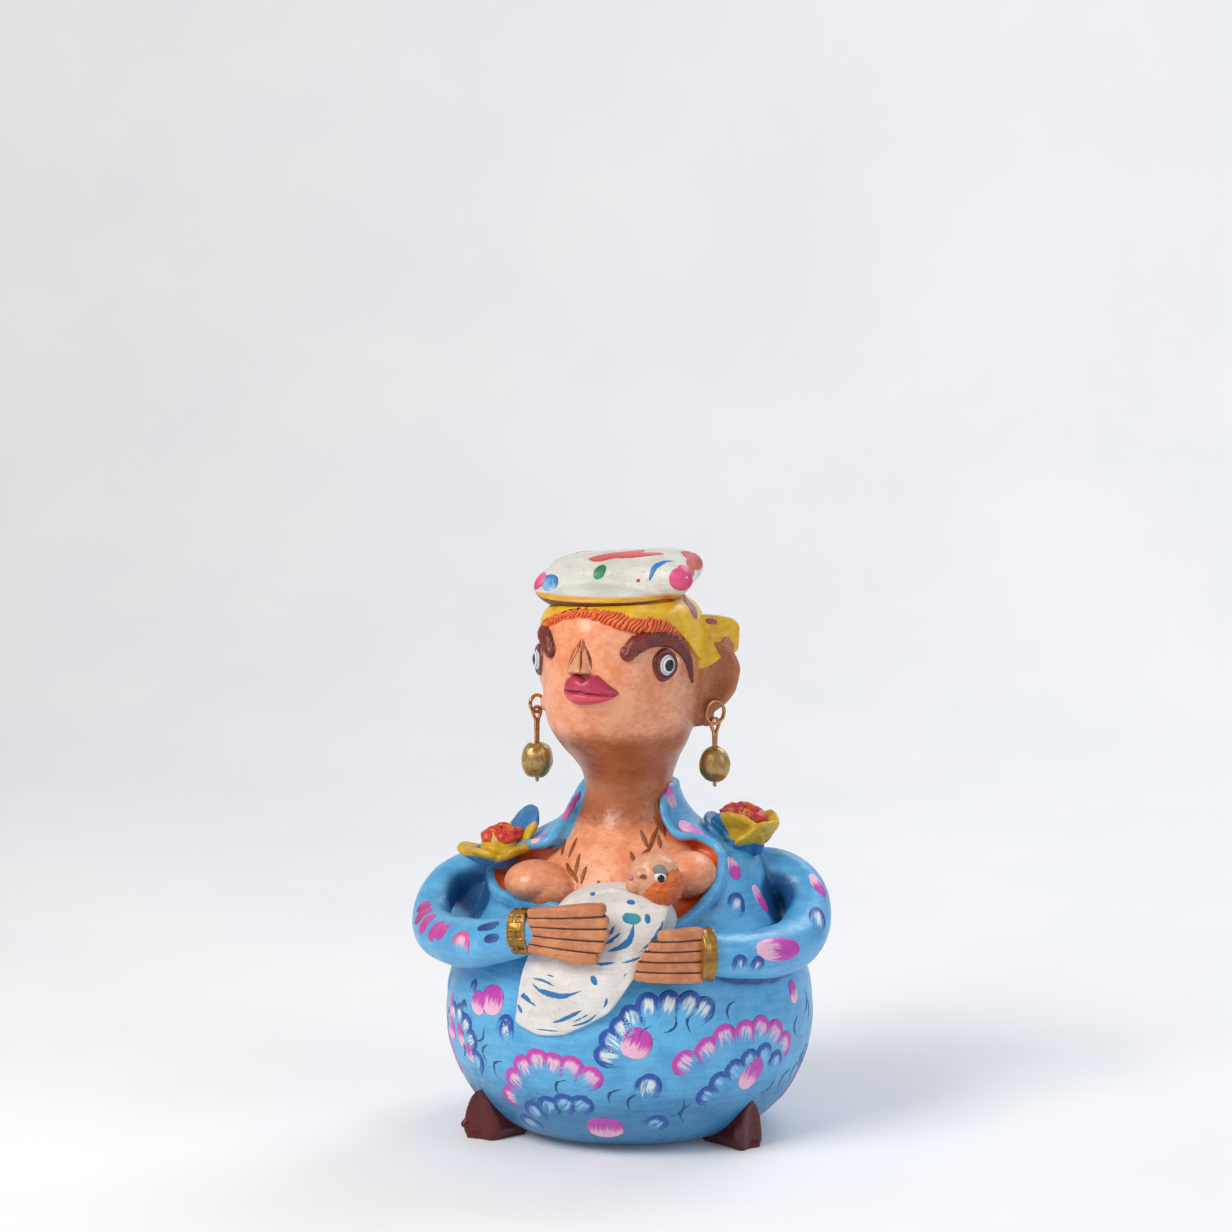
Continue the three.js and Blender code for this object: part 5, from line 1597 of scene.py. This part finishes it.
def pot_strokes():
    """The pot's pattern: scalloped fans, lone petals, pink dabs and dark crescents. The front's are
    placed as they show, and more of the same kind run round the sides and back."""
    strokes = [stroke for row in FRONT_FANS for stroke in fan(*row)]
    for tip, base, width, *colours in LONE_PETALS:
        strokes.append(petal(on_dress(*tip), on_dress(*base), width, *colours))
    for tip, base, width in PINK_BLOBS:
        strokes.append(dab(on_dress(*tip), on_dress(*base), width, *PINK))
    random = np.random.default_rng(12)
    marks = list(CRESCENTS)
    for k, azimuth in enumerate(range(92, 305, 19)):
        z = (12, 31, 17, 25)[k % 4]
        spread = np.radians(np.linspace(-75, 75, 6) + random.uniform(-12, 12))
        reach = 9.0 + random.uniform(-1, 1)
        across, up = azimuth + np.degrees(reach * np.sin(spread) / POT_GIRTH), z + reach * np.cos(spread) - 4
        tips = list(zip(across, np.maximum(up, 5)))
        strokes += fan(tips, (azimuth, z - 5), 6.2, 4.8, *(PINK, BLUE)[k % 2])
        strokes.append(dab(on_dress(azimuth + 14, z + 9), on_dress(azimuth + 12, z + 4), 4.4, *PINK))
        marks += [(azimuth + random.uniform(-12, 12), random.uniform(8, 44)) for _ in range(6)]
    for k, (azimuth, z) in enumerate(marks):
        lean = np.radians(random.uniform(48, 84))
        reach = 2.6
        shift = np.degrees(reach * np.cos(lean) / POT_GIRTH)
        start = on_dress(azimuth - shift, z - reach * np.sin(lean))
        stop = on_dress(azimuth + shift, z + reach * np.sin(lean))
        strokes.append(line(start, stop, 0.95, -2.0 if k % 5 else 1.6, TEAL))
    return strokes


SLEEVE_STROKES = [
    dab((-44.2, -16.5, 48.2), (-41.6, -15.0, 50.9), 2.8, *RASPBERRY, 0.5),
    dab((-44.1, -18.8, 46.1), (-40.5, -18.0, 49.9), 2.8, *RASPBERRY, 0.5),
    dab((-42.5, -22.9, 44.9), (-38.9, -21.6, 48.9), 2.8, *ORCHID, 0.5),
    dab((-39.7, -26.7, 44.4), (-36.0, -26.7, 48.5), 2.8, *ORCHID, 0.5),
    dab((-37.6, -28.6, 45.2), (-34.5, -29.4, 48.6), 2.4, *ORCHID, 0.5),
    petal((-30.6, -33.6, 48.4), (-30.8, -33.5, 42.1), 5.0, "#d9559c", PALE_PINK),
    dab((-27.6, -35.1, 49.2), (-22.4, -37.8, 50.7), 2.0, *NAVY, 0.6),
    dab((-25.5, -37.3, 47.2), (-21.8, -39.0, 48.4), 1.5, *NAVY, 0.6),
    dab((39.0, -21.5, 43.9), (30.9, -31.3, 45.4), 4.2, *PINK),
    petal((27.8, -35.0, 45.4), (27.5, -34.0, 40.6), 3.6, *BLUE),
    petal((31.6, -31.4, 44.4), (30.0, -31.2, 39.6), 3.6, *BLUE),
    petal((41.8, -7.7, 50.1), (41.9, -15.1, 44.2), 4.4, *BLUE),
    dab((43.0, -3.3, 51.4), (39.6, -0.7, 56.0), 2.4, *PINK),
    dab((24.8, -13.0, 56.6), (23.0, -10.6, 61.2), 3.0, *PINK),
    petal((25.6, -13.8, 53.9), (24.2, -18.3, 48.8), 4.6, *BLUE),
    dab((31.2, -7.7, 49.1), (27.9, -9.6, 54.9), 2.4, "#d840b4", PALE_PINK),
    dab((17.4, -7.2, 65.0), (12.0, -8.7, 68.2), 3.4, "#e04cc0", "#f0b4dc"),
    dab((8.9, -5.7, 76.8), (11.1, -6.7, 71.2), 3.0, "#cc62bb", "#d9a9cf"),
    dab((-10.7, -1.0, 73.6), (-14.1, -7.6, 67.4), 1.6, "#b846a4", "#d98cc4", 0.6),
    dab((-17.6, -8.9, 64.9), (-19.2, -11.8, 63.0), 2.4, "#d95cc0", PALE_PINK),
    petal((-20.4, -34.1, 30.4), (-23.1, -31.5, 24.2), 4.4, *BLUE),
    dab((30, 22, 60), (24, 26, 55), 3.6, *PINK),
    petal((10, 30, 58), (9, 33, 51), 5.0, *BLUE),
    petal((15, 29, 58), (15, 32, 51), 5.0, *BLUE),
    dab((-8, 30, 60), (-10, 33, 54), 4.2, *PINK),
    petal((-20, 27, 57), (-22, 30, 50), 5.0, *BLUE),
    petal((-15, 29, 58), (-16, 31, 51), 5.0, *BLUE),
    dab((-30, 14, 57), (-32, 17, 51), 3.6, *PINK),
    dab((4, 13, 72), (5, 17, 66), 3.2, *PINK),
    dab((-7, 12, 71), (-9, 16, 65), 3.2, *PINK),
]

CUSHION_STROKES = [
    dab((-7.4, -8.8, 124.3), (3.2, -1.6, 126.0), 5.4, *POPPY, 0.6),
    dab((-2.5, -8.2, 124.8), (8.2, -6.2, 125.6), 3.0, *POPPY, 0.6),
    dab((-4.0, -11.1, 123.8), (-5.5, -12.9, 121.0), 1.9, "#1f7a50", "#4fb07e", 0.4),
    line((6.0, -13.8, 120.6), (11.1, -10.2, 124.2), 1.5, -1.4, "#2a7cc0"),
    dab((18.6, -11.2, 121.2), (10.2, -14.0, 121.3), 5.2, *CERISE, 0.7),
    dab((17.0, -10.6, 123.0), (11.8, -12.6, 123.2), 3.0, *CERISE, 0.6),
    dab((12.4, 3.0, 126.2), (16.6, -4.0, 123.6), 5.2, *SCARLET, 0.5),
    dab((14.2, -3.0, 124.8), (17.2, -8.8, 122.2), 4.6, *SCARLET, 0.5),
    dab((14.0, 5.0, 125.0), (17.0, -1.0, 123.0), 4.6, *SCARLET, 0.5),
    dab((-19.8, -11.2, 118.6), (-16.6, -11.8, 122.2), 4.0, *ROSE, 0.5),
    dab((-15.4, -12.6, 122.4), (-15.6, -13.0, 118.2), 3.0, *AZURE, 0.7),
    dab((3.2, -13.6, 121.2), (4.0, -13.6, 120.8), 0.8, "#cf3a2a", "#cf3a2a", 0.0),
    dab((-12, 4, 123.2), (-6, 8, 123.6), 4.0, "#cf3a3a", "#e0604e", 0.7),
    dab((4, 9, 124.5), (9, 7, 124.8), 3.4, *AZURE, 0.8),
    dab((-15, 6, 121.5), (-17, 8, 119.5), 3.0, *ROSE, 0.8),
    dab((14, 8, 122.6), (15, 9, 120.6), 3.0, *ROSE, 0.8),
]

SCARF_STROKES = [
    dab((10.6, -1.8, 114.4), (13.2, -8.0, 111.6), 2.4, *RUST, 0.6),
    dab((21.9, 1.5, 107.6), (20.6, 0.4, 103.4), 2.6, "#b5745c", "#c48a70", 0.5),
    dab((16.3, -0.9, 111.4), (18.8, 1.2, 110.6), 1.1, *RUST, 0.6),
    dab((-6, 15, 110), (-4, 17, 105), 2.6, *RUST, 0.6),
    dab((8, 14, 110), (10, 15, 106), 2.4, *RUST, 0.6),
    dab((-15, 6, 110), (-16, 8, 106), 2.2, *RUST, 0.6),
]

# Blue leaf lines on the blanket: both ends, width, and the bow to one side, 0 for a short dab
LEAF_BLUE = "#2474b2"
LEAF_TEAL = "#2f9aa6"
LEAF_LINES = [
    ((-15.4, -38.3, 38.9), (-4.3, -41.2, 38.0), 1.45, 2.0),
    ((-19.0, -34.3, 37.9), (-14.2, -38.7, 33.6), 1.28, 0.3),
    ((-12.4, -39.1, 40.5), (-10.3, -39.8, 40.2), 0.56, -0.2),
    ((-15.1, -38.4, 39.7), (-10.0, -39.9, 38.2), 0.72, -0.3),
    ((-2.2, -41.0, 41.2), (-1.2, -41.2, 39.3), 1.2, 0.0),
    ((5.8, -36.3, 51.5), (0.6, -38.8, 45.6), 1.62, -1.9),
    ((2.0, -36.9, 51.1), (0.3, -40.1, 49.0), 0.96, -0.2),
    ((3.3, -37.2, 49.4), (-0.1, -40.2, 47.8), 1.04, -0.3),
    ((8.5, -35.4, 53.4), (8.6, -35.8, 51.2), 1.1, 0.0),
    ((11.6, -34.2, 52.0), (7.5, -38.5, 46.2), 0.96, -0.8),
    ((11.0, -34.8, 50.0), (6.6, -38.9, 45.4), 0.56, -0.7),
    ((-2.7, -40.0, 43.4), (2.6, -39.8, 43.8), 0.96, 0.4),
    ((3.7, -39.9, 43.7), (8.0, -39.4, 45.3), 0.8, 0.3),
    ((5.0, -40.4, 41.9), (4.1, -40.9, 40.5), 0.56, 0.1),
    ((0.9, -41.4, 36.9), (0.1, -41.4, 34.4), 0.8, -0.2),
    ((-4.0, -41.2, 34.1), (-10.9, -40.0, 30.7), 1.12, -0.3),
    ((-2.2, -41.4, 33.8), (-6.7, -40.9, 30.9), 0.56, -0.2),
    ((-0.5, -41.3, 33.9), (-7.5, -40.6, 30.1), 0.72, -0.8),
    ((-14.8, -37.9, 29.0), (-8.1, -39.9, 29.2), 0.56, 0.3),
    ((-18.3, -36.6, 33.5), (-17.4, -37.6, 32.0), 0.9, 0.0),
    ((-20.3, -32.7, 38.8), (-18.2, -33.5, 40.0), 1.04, 0.1),
    ((4.1, -35.0, 55.7), (5.9, -34.7, 55.5), 0.9, 0.0),
    ((-3.6, -34.4, 56.8), (-2.4, -34.4, 56.9), 0.7, 0.0),
]
BLANKET_STROKES = [line(*row, LEAF_BLUE) for row in LEAF_LINES]
BLANKET_STROKES.insert(6, dab((7.3, -35.9, 52.0), (3.4, -36.3, 52.6), 2.0, LEAF_TEAL, LEAF_BLUE, 0.4))


def nose_strokes():
    """The nose: its flat beige front, brown slip in the two scratches beside it, and a painted shadow along
    its base, under the nose.
    """
    def at(across, z, out):
        return on_head(NOSE["azimuth"] + np.degrees(across / FACE_GIRTH), z, out)

    low, high, half, wide = (NOSE[key] for key in ("base_z", "apex_z", "half_face", "half_base"))
    brown = "#7c4022"
    return [
        dab(at(0, high - 1.6, 1.2), at(0, low + 0.5, 3.2), 2.4, "#d3946a", "#d99c74", 0.5),
        line(at(-0.2, high + 0.4, 0.3), at(-half, low + 0.1, 3.0), 1.1, 0.12, brown),
        line(at(0.2, high + 0.4, 0.3), at(half, low + 0.1, 3.0), 1.1, -0.12, brown),
        line(at(-0.4, high, 0.2), at(-wide, low + 0.4, 0.4), 0.8, 0.3, "#9a5a34"),
        line(at(0.4, high, 0.2), at(wide, low + 0.2, 0.4), 0.9, -0.3, brown),
        # painted shadow under the nose: a brown line along its base
        line(at(-wide, low, 0.6), at(wide, low, 0.6), 0.8, 0.2, brown),
    ]


def make_brushwork(details):
    """The painted pattern on the dress, sleeves, cushion, scarf and blanket, and the nose."""
    objects = bpy.data.objects
    thickness = details.stroke_height * MM
    strokes_on("nose_paint", objects["skin_bust"], nose_strokes(), SKIN_PAINT, thickness=0.08)
    strokes_on("dress_pattern", objects["painted_dress"], pot_strokes(), SKY_PAINT, thickness)
    strokes_on("sleeve_pattern", objects["painted_dress"], SLEEVE_STROKES, SKY_PAINT, thickness)
    strokes_on("cushion_pattern", objects["head_cushion"], CUSHION_STROKES, CUSHION_PAINT, thickness)
    strokes_on("scarf_pattern", objects["headscarf"], SCARF_STROKES, SCARF_PAINT, thickness)
    strokes_on("blanket_pattern", objects["blanket"], BLANKET_STROKES, BLANKET_PAINT, thickness)


def make_hoop(earring):
    """A hoop: a circle of wire leaned over, turned and put in its ear."""
    a = np.linspace(0, 2 * np.pi, 96, endpoint=False)
    circle = earring["radius"] * np.stack([0 * a, np.cos(a), np.sin(a)], axis=-1)
    place = (earring["lean"], 0, earring["turn"])
    reference = turned(np.array([[1.0, 0, 0]]), place)
    path = turned(circle, place) + np.array(earring["at"], float)
    return rope(path, WIRE_RADIUS, 20, reference, looped=True)


def make_drop_wire(earring):
    """The drop wire: two strands that wind round each other down through the bead, and a loop over
    the bottom of the hoop."""
    eye = 2 * WIRE_RADIUS + 0.3
    total = earring["drop"] + BEAD["height"] + 0.6

    def twisted(side, depth):
        turn = np.radians(STRAND_TWIST) * depth / total
        return side * WIRE_RADIUS * 0.94 * np.cos(turn), side * WIRE_RADIUS * 0.94 * np.sin(turn), -depth

    def strand(side):
        return [twisted(side, total), twisted(side, total / 2), twisted(side, eye + 1.2),
                (side * eye * 0.75, 0, -eye * 0.8), (side * eye, 0, 0), (side * eye * 0.7, 0, eye * 0.7)]

    path = spline([*strand(-1), (0, 0, eye), *strand(1)[::-1]], 200)
    x, y, z = earring["at"]
    place = (0, 0, earring["turn"] + 90)
    bottom = np.array([x, y, z - earring["radius"]], float)
    return rope(turned(path, place) + bottom, WIRE_RADIUS, 16, turned(np.array([[0, 1.0, 0]]), place))


def make_bead(earring):
    """A bead: a lump between a ball and a cube, its rings powers of sine and cosine, holed by a bore
    whose wall joins its first ring to its last."""
    x, y, z = earring["at"]
    power = earring["squareness"]
    a = np.linspace(0, 2 * np.pi, 96, endpoint=False)[None]
    v = np.linspace(0.07, 0.93, 60)[:, None] * np.pi
    square = (np.abs(np.cos(a)) ** power + np.abs(np.sin(a)) ** power) ** (-1 / power)
    spread = np.sin(v) ** (2 / power) * square * BEAD["width"] / 2
    spread = np.maximum(spread, BEAD["bore"])
    down = BEAD["height"] * (1 - np.cos(v)) / 2 + 0 * a
    bore = np.linspace(0.94, 0.06, 12)[:, None] + 0 * a
    spread = np.concatenate([spread, np.full_like(bore, BEAD["bore"] * 0.92)])
    down = np.concatenate([down, bore * BEAD["height"]])
    top = z - earring["radius"] - earring["drop"]
    points = np.stack([x + spread * np.cos(a), y + spread * np.sin(a), top - down], axis=-1)
    return closed_grid(points, looped=True)


def make_earrings():
    """Each earring: hoop, doubled drop wire and bead."""
    wire = painted("enamelled copper wire", WIRE_METAL)
    gilt = painted("worn gilt paint on clay", BEAD_PAINT)
    for side, earring in EARRINGS.items():
        hoop = piece(f"{side}_hoop", [make_hoop(earring)], wire)
        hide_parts(f"{side}_ear_hoop")
        drop = piece(f"{side}_drop", [make_drop_wire(earring)], wire)
        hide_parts(f"{side}_drop_wire")
        bead = mesh_of(f"{side}_clay_bead", rumpled(make_bead(earring), amount=0.16, size=1.7, seed=17))
        mark_hollows(bead, passes=14)
        bead = settle(in_view(f"{side}_clay_bead", bead), gilt)
        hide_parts(f"{side}_bead")


# The sweep's size, each light's place, width and colour, the point they shine on, and the camera's
# place before it turns about the figure, its turn and how far it looks down, in degrees
SWEEP = {"half": 900, "front": -700, "start": 420, "curve": 260, "top": 1100}
LIGHTS = {
    "key": ((-420, -520, 620), 420, "#fff7ee"), "fill": ((560, -260, 330), 380, "#eef4ff"),
    "back": ((260, 420, 560), 360, "#f4f8ff"),
}
LIT = (0, 0, 60)
CAMERA = {"at": (-3.0, -739.0, 196.0), "turn": 8.0, "dip": 6.5}


def make_sweep(stage):
    """A pale seamless sweep of paper that curves up behind the figure as a quarter circle."""
    half, front, start, curve, top = (SWEEP[key] for key in ("half", "front", "start", "curve", "top"))
    across = np.linspace(-half, half, 5)[:, None]
    bend = np.radians(np.linspace(0, 90, 24))
    run = np.concatenate([[front], start + curve * np.sin(bend), [start + curve]])
    rise = np.concatenate([[0], curve * (1 - np.cos(bend)), [top]])
    x, y, z = np.broadcast_arrays(across, run[None], rise[None])
    grid = np.arange(x.size).reshape(x.shape)
    quads = np.stack([grid[:-1, :-1], grid[1:, :-1], grid[1:, 1:], grid[:-1, 1:]], axis=-1).reshape(-1, 4)
    mesh = bpy.data.meshes.new("pale_sweep")
    mesh.from_pydata((np.stack([x, y, z], axis=-1).reshape(-1, 3) / MM).tolist(), [], quads.tolist())
    sweep = in_view("pale_sweep", mesh)
    mesh.shade_smooth()
    material, tree, place = new_material("matt white paper")
    fleck = mottling(tree, place, 90.0)
    tone = blended(tree, stepped(tree, fleck, 0.3, 0.7), tuple(stage.floor), linear("#eff1f4"))
    inputs = {"Base Color": tone, "Roughness": 0.75, "Emission Color": tone, "Emission Strength": 0.05}
    shader = add(tree, "ShaderNodeBsdfPrincipled", inputs).outputs[0]
    add(tree, "ShaderNodeOutputMaterial", {"Surface": shader})
    mesh.materials.append(material)


def make_lights(stage):
    """A large soft key light at the upper left, a weaker fill at the right, one at the back, and a
    pale room that lights everything a little."""
    power = {"key": stage.key, "fill": stage.fill, "back": stage.fill * 1.5}
    for name, (at, size, code) in LIGHTS.items():
        lamp = bpy.data.lights.new(name, "AREA")
        lamp.energy = power[name]
        lamp.size = size / MM
        lamp.color = linear(code)[:3]
        obj = bpy.data.objects.new(name, lamp)
        bpy.context.scene.collection.objects.link(obj)
        aim = unit(np.array(LIT) - np.array(at, float))
        obj.location = np.array(at) / MM
        obj.rotation_euler = (np.arccos(-aim[2]), 0, np.arctan2(-aim[0], aim[1]))
    world = bpy.data.worlds.new("pale room")
    world.use_nodes = True
    world.node_tree.nodes["Background"].inputs["Color"].default_value = linear("#f2f5fa")
    world.node_tree.nodes["Background"].inputs["Strength"].default_value = 0.3
    bpy.context.scene.world = world
    bpy.context.scene.view_settings.view_transform = "Standard"


def make_camera():
    """The camera, in front of the figure and a little above it."""
    camera = bpy.data.cameras.new("camera")
    camera.lens = 100
    camera.sensor_width = 36
    camera.clip_end = 20
    eye = bpy.data.objects.new("camera", camera)
    bpy.context.scene.collection.objects.link(eye)
    eye.location = turned(np.array(CAMERA["at"]), (0, 0, CAMERA["turn"])) / MM
    eye.rotation_euler = (np.radians(90 - CAMERA["dip"]), 0, np.radians(CAMERA["turn"]))
    bpy.context.scene.camera = eye


# Operators and panel


class FIGURINE_OT_dress(bpy.types.Operator):
    """Model and paint the pot-shaped dress"""
    bl_idname = "figurine.dress"
    bl_label = "Dress"

    def execute(self, context):
        make_dress(context.scene.figurine_clay)
        return {"FINISHED"}


class FIGURINE_OT_bust(bpy.types.Operator):
    """Model and paint head, neck, chest and ears"""
    bl_idname = "figurine.bust"
    bl_label = "Head and chest"

    def execute(self, context):
        make_bust(context.scene.figurine_clay)
        return {"FINISHED"}


class FIGURINE_OT_face(bpy.types.Operator):
    """Model and paint lips, eyes and brows"""
    bl_idname = "figurine.face"
    bl_label = "Face"

    def execute(self, context):
        make_face()
        return {"FINISHED"}


class FIGURINE_OT_scarf(bpy.types.Operator):
    """Model and paint the headscarf and the fringe"""
    bl_idname = "figurine.scarf"
    bl_label = "Scarf and hair"

    def execute(self, context):
        make_scarf_and_hair(context.scene.figurine_details)
        return {"FINISHED"}


class FIGURINE_OT_cushion(bpy.types.Operator):
    """Model and paint the cushion on the head"""
    bl_idname = "figurine.cushion"
    bl_label = "Cushion"

    def execute(self, context):
        make_cushion()
        return {"FINISHED"}


class FIGURINE_OT_hands(bpy.types.Operator):
    """Model and paint the hands and their cuffs"""
    bl_idname = "figurine.hands"
    bl_label = "Hands"

    def execute(self, context):
        make_hands(context.scene.figurine_details)
        return {"FINISHED"}


class FIGURINE_OT_blanket(bpy.types.Operator):
    """Model and paint the blanket round the baby"""
    bl_idname = "figurine.blanket"
    bl_label = "Blanket"

    def execute(self, context):
        make_blanket()
        return {"FINISHED"}


class FIGURINE_OT_baby(bpy.types.Operator):
    """Model and paint the baby's head"""
    bl_idname = "figurine.baby"
    bl_label = "Baby"

    def execute(self, context):
        make_baby()
        return {"FINISHED"}


class FIGURINE_OT_roses(bpy.types.Operator):
    """Model and paint the two shoulder roses"""
    bl_idname = "figurine.roses"
    bl_label = "Roses"

    def execute(self, context):
        make_roses()
        return {"FINISHED"}


class FIGURINE_OT_shoes(bpy.types.Operator):
    """Model and paint the shoe tips"""
    bl_idname = "figurine.shoes"
    bl_label = "Shoes"

    def execute(self, context):
        make_shoes()
        return {"FINISHED"}


class FIGURINE_OT_necklace(bpy.types.Operator):
    """Model and paint the necklace's strokes"""
    bl_idname = "figurine.necklace"
    bl_label = "Necklace"

    def execute(self, context):
        make_necklace()
        return {"FINISHED"}


class FIGURINE_OT_brushwork(bpy.types.Operator):
    """Lay the painted pattern on the pieces"""
    bl_idname = "figurine.brushwork"
    bl_label = "Brushwork"

    def execute(self, context):
        make_brushwork(context.scene.figurine_details)
        return {"FINISHED"}


class FIGURINE_OT_earrings(bpy.types.Operator):
    """Bend the wires and model the beads"""
    bl_idname = "figurine.earrings"
    bl_label = "Earrings"

    def execute(self, context):
        make_earrings()
        return {"FINISHED"}


class FIGURINE_OT_stage(bpy.types.Operator):
    """Set up the pale sweep, the lights and the camera"""
    bl_idname = "figurine.stage"
    bl_label = "Stage"

    def execute(self, context):
        make_sweep(context.scene.figurine_stage)
        make_lights(context.scene.figurine_stage)
        make_camera()
        return {"FINISHED"}


OPERATORS = [
    FIGURINE_OT_dress, FIGURINE_OT_bust, FIGURINE_OT_face,
    FIGURINE_OT_scarf, FIGURINE_OT_cushion, FIGURINE_OT_hands,
    FIGURINE_OT_blanket, FIGURINE_OT_baby, FIGURINE_OT_roses,
    FIGURINE_OT_shoes, FIGURINE_OT_necklace, FIGURINE_OT_brushwork,
    FIGURINE_OT_earrings, FIGURINE_OT_stage,
]


class FIGURINE_PT_panel(bpy.types.Panel):
    """The figurine's pieces, in the order they are made"""
    bl_label = "Clay figurine"
    bl_idname = "FIGURINE_PT_panel"
    bl_space_type = "VIEW_3D"
    bl_region_type = "UI"
    bl_category = "Figurine"

    def draw(self, context):
        for kind in OPERATORS:
            self.layout.operator(kind.bl_idname)


GROUPS = {
    "figurine_clay": FIGURINE_PG_clay, "figurine_details": FIGURINE_PG_details,
    "figurine_stage": FIGURINE_PG_stage,
}


def register():
    for kind in (*GROUPS.values(), *OPERATORS, FIGURINE_PT_panel):
        bpy.utils.register_class(kind)
    for name, kind in GROUPS.items():
        setattr(bpy.types.Scene, name, PointerProperty(type=kind))


def unregister():
    for name in GROUPS:
        delattr(bpy.types.Scene, name)
    for kind in (FIGURINE_PT_panel, *reversed(OPERATORS), *GROUPS.values()):
        bpy.utils.unregister_class(kind)


def main():
    """Makes every piece in order."""
    register()
    for kind in OPERATORS:
        getattr(bpy.ops.figurine, kind.bl_idname.split(".")[1])()


if __name__ == "__main__":
    main()
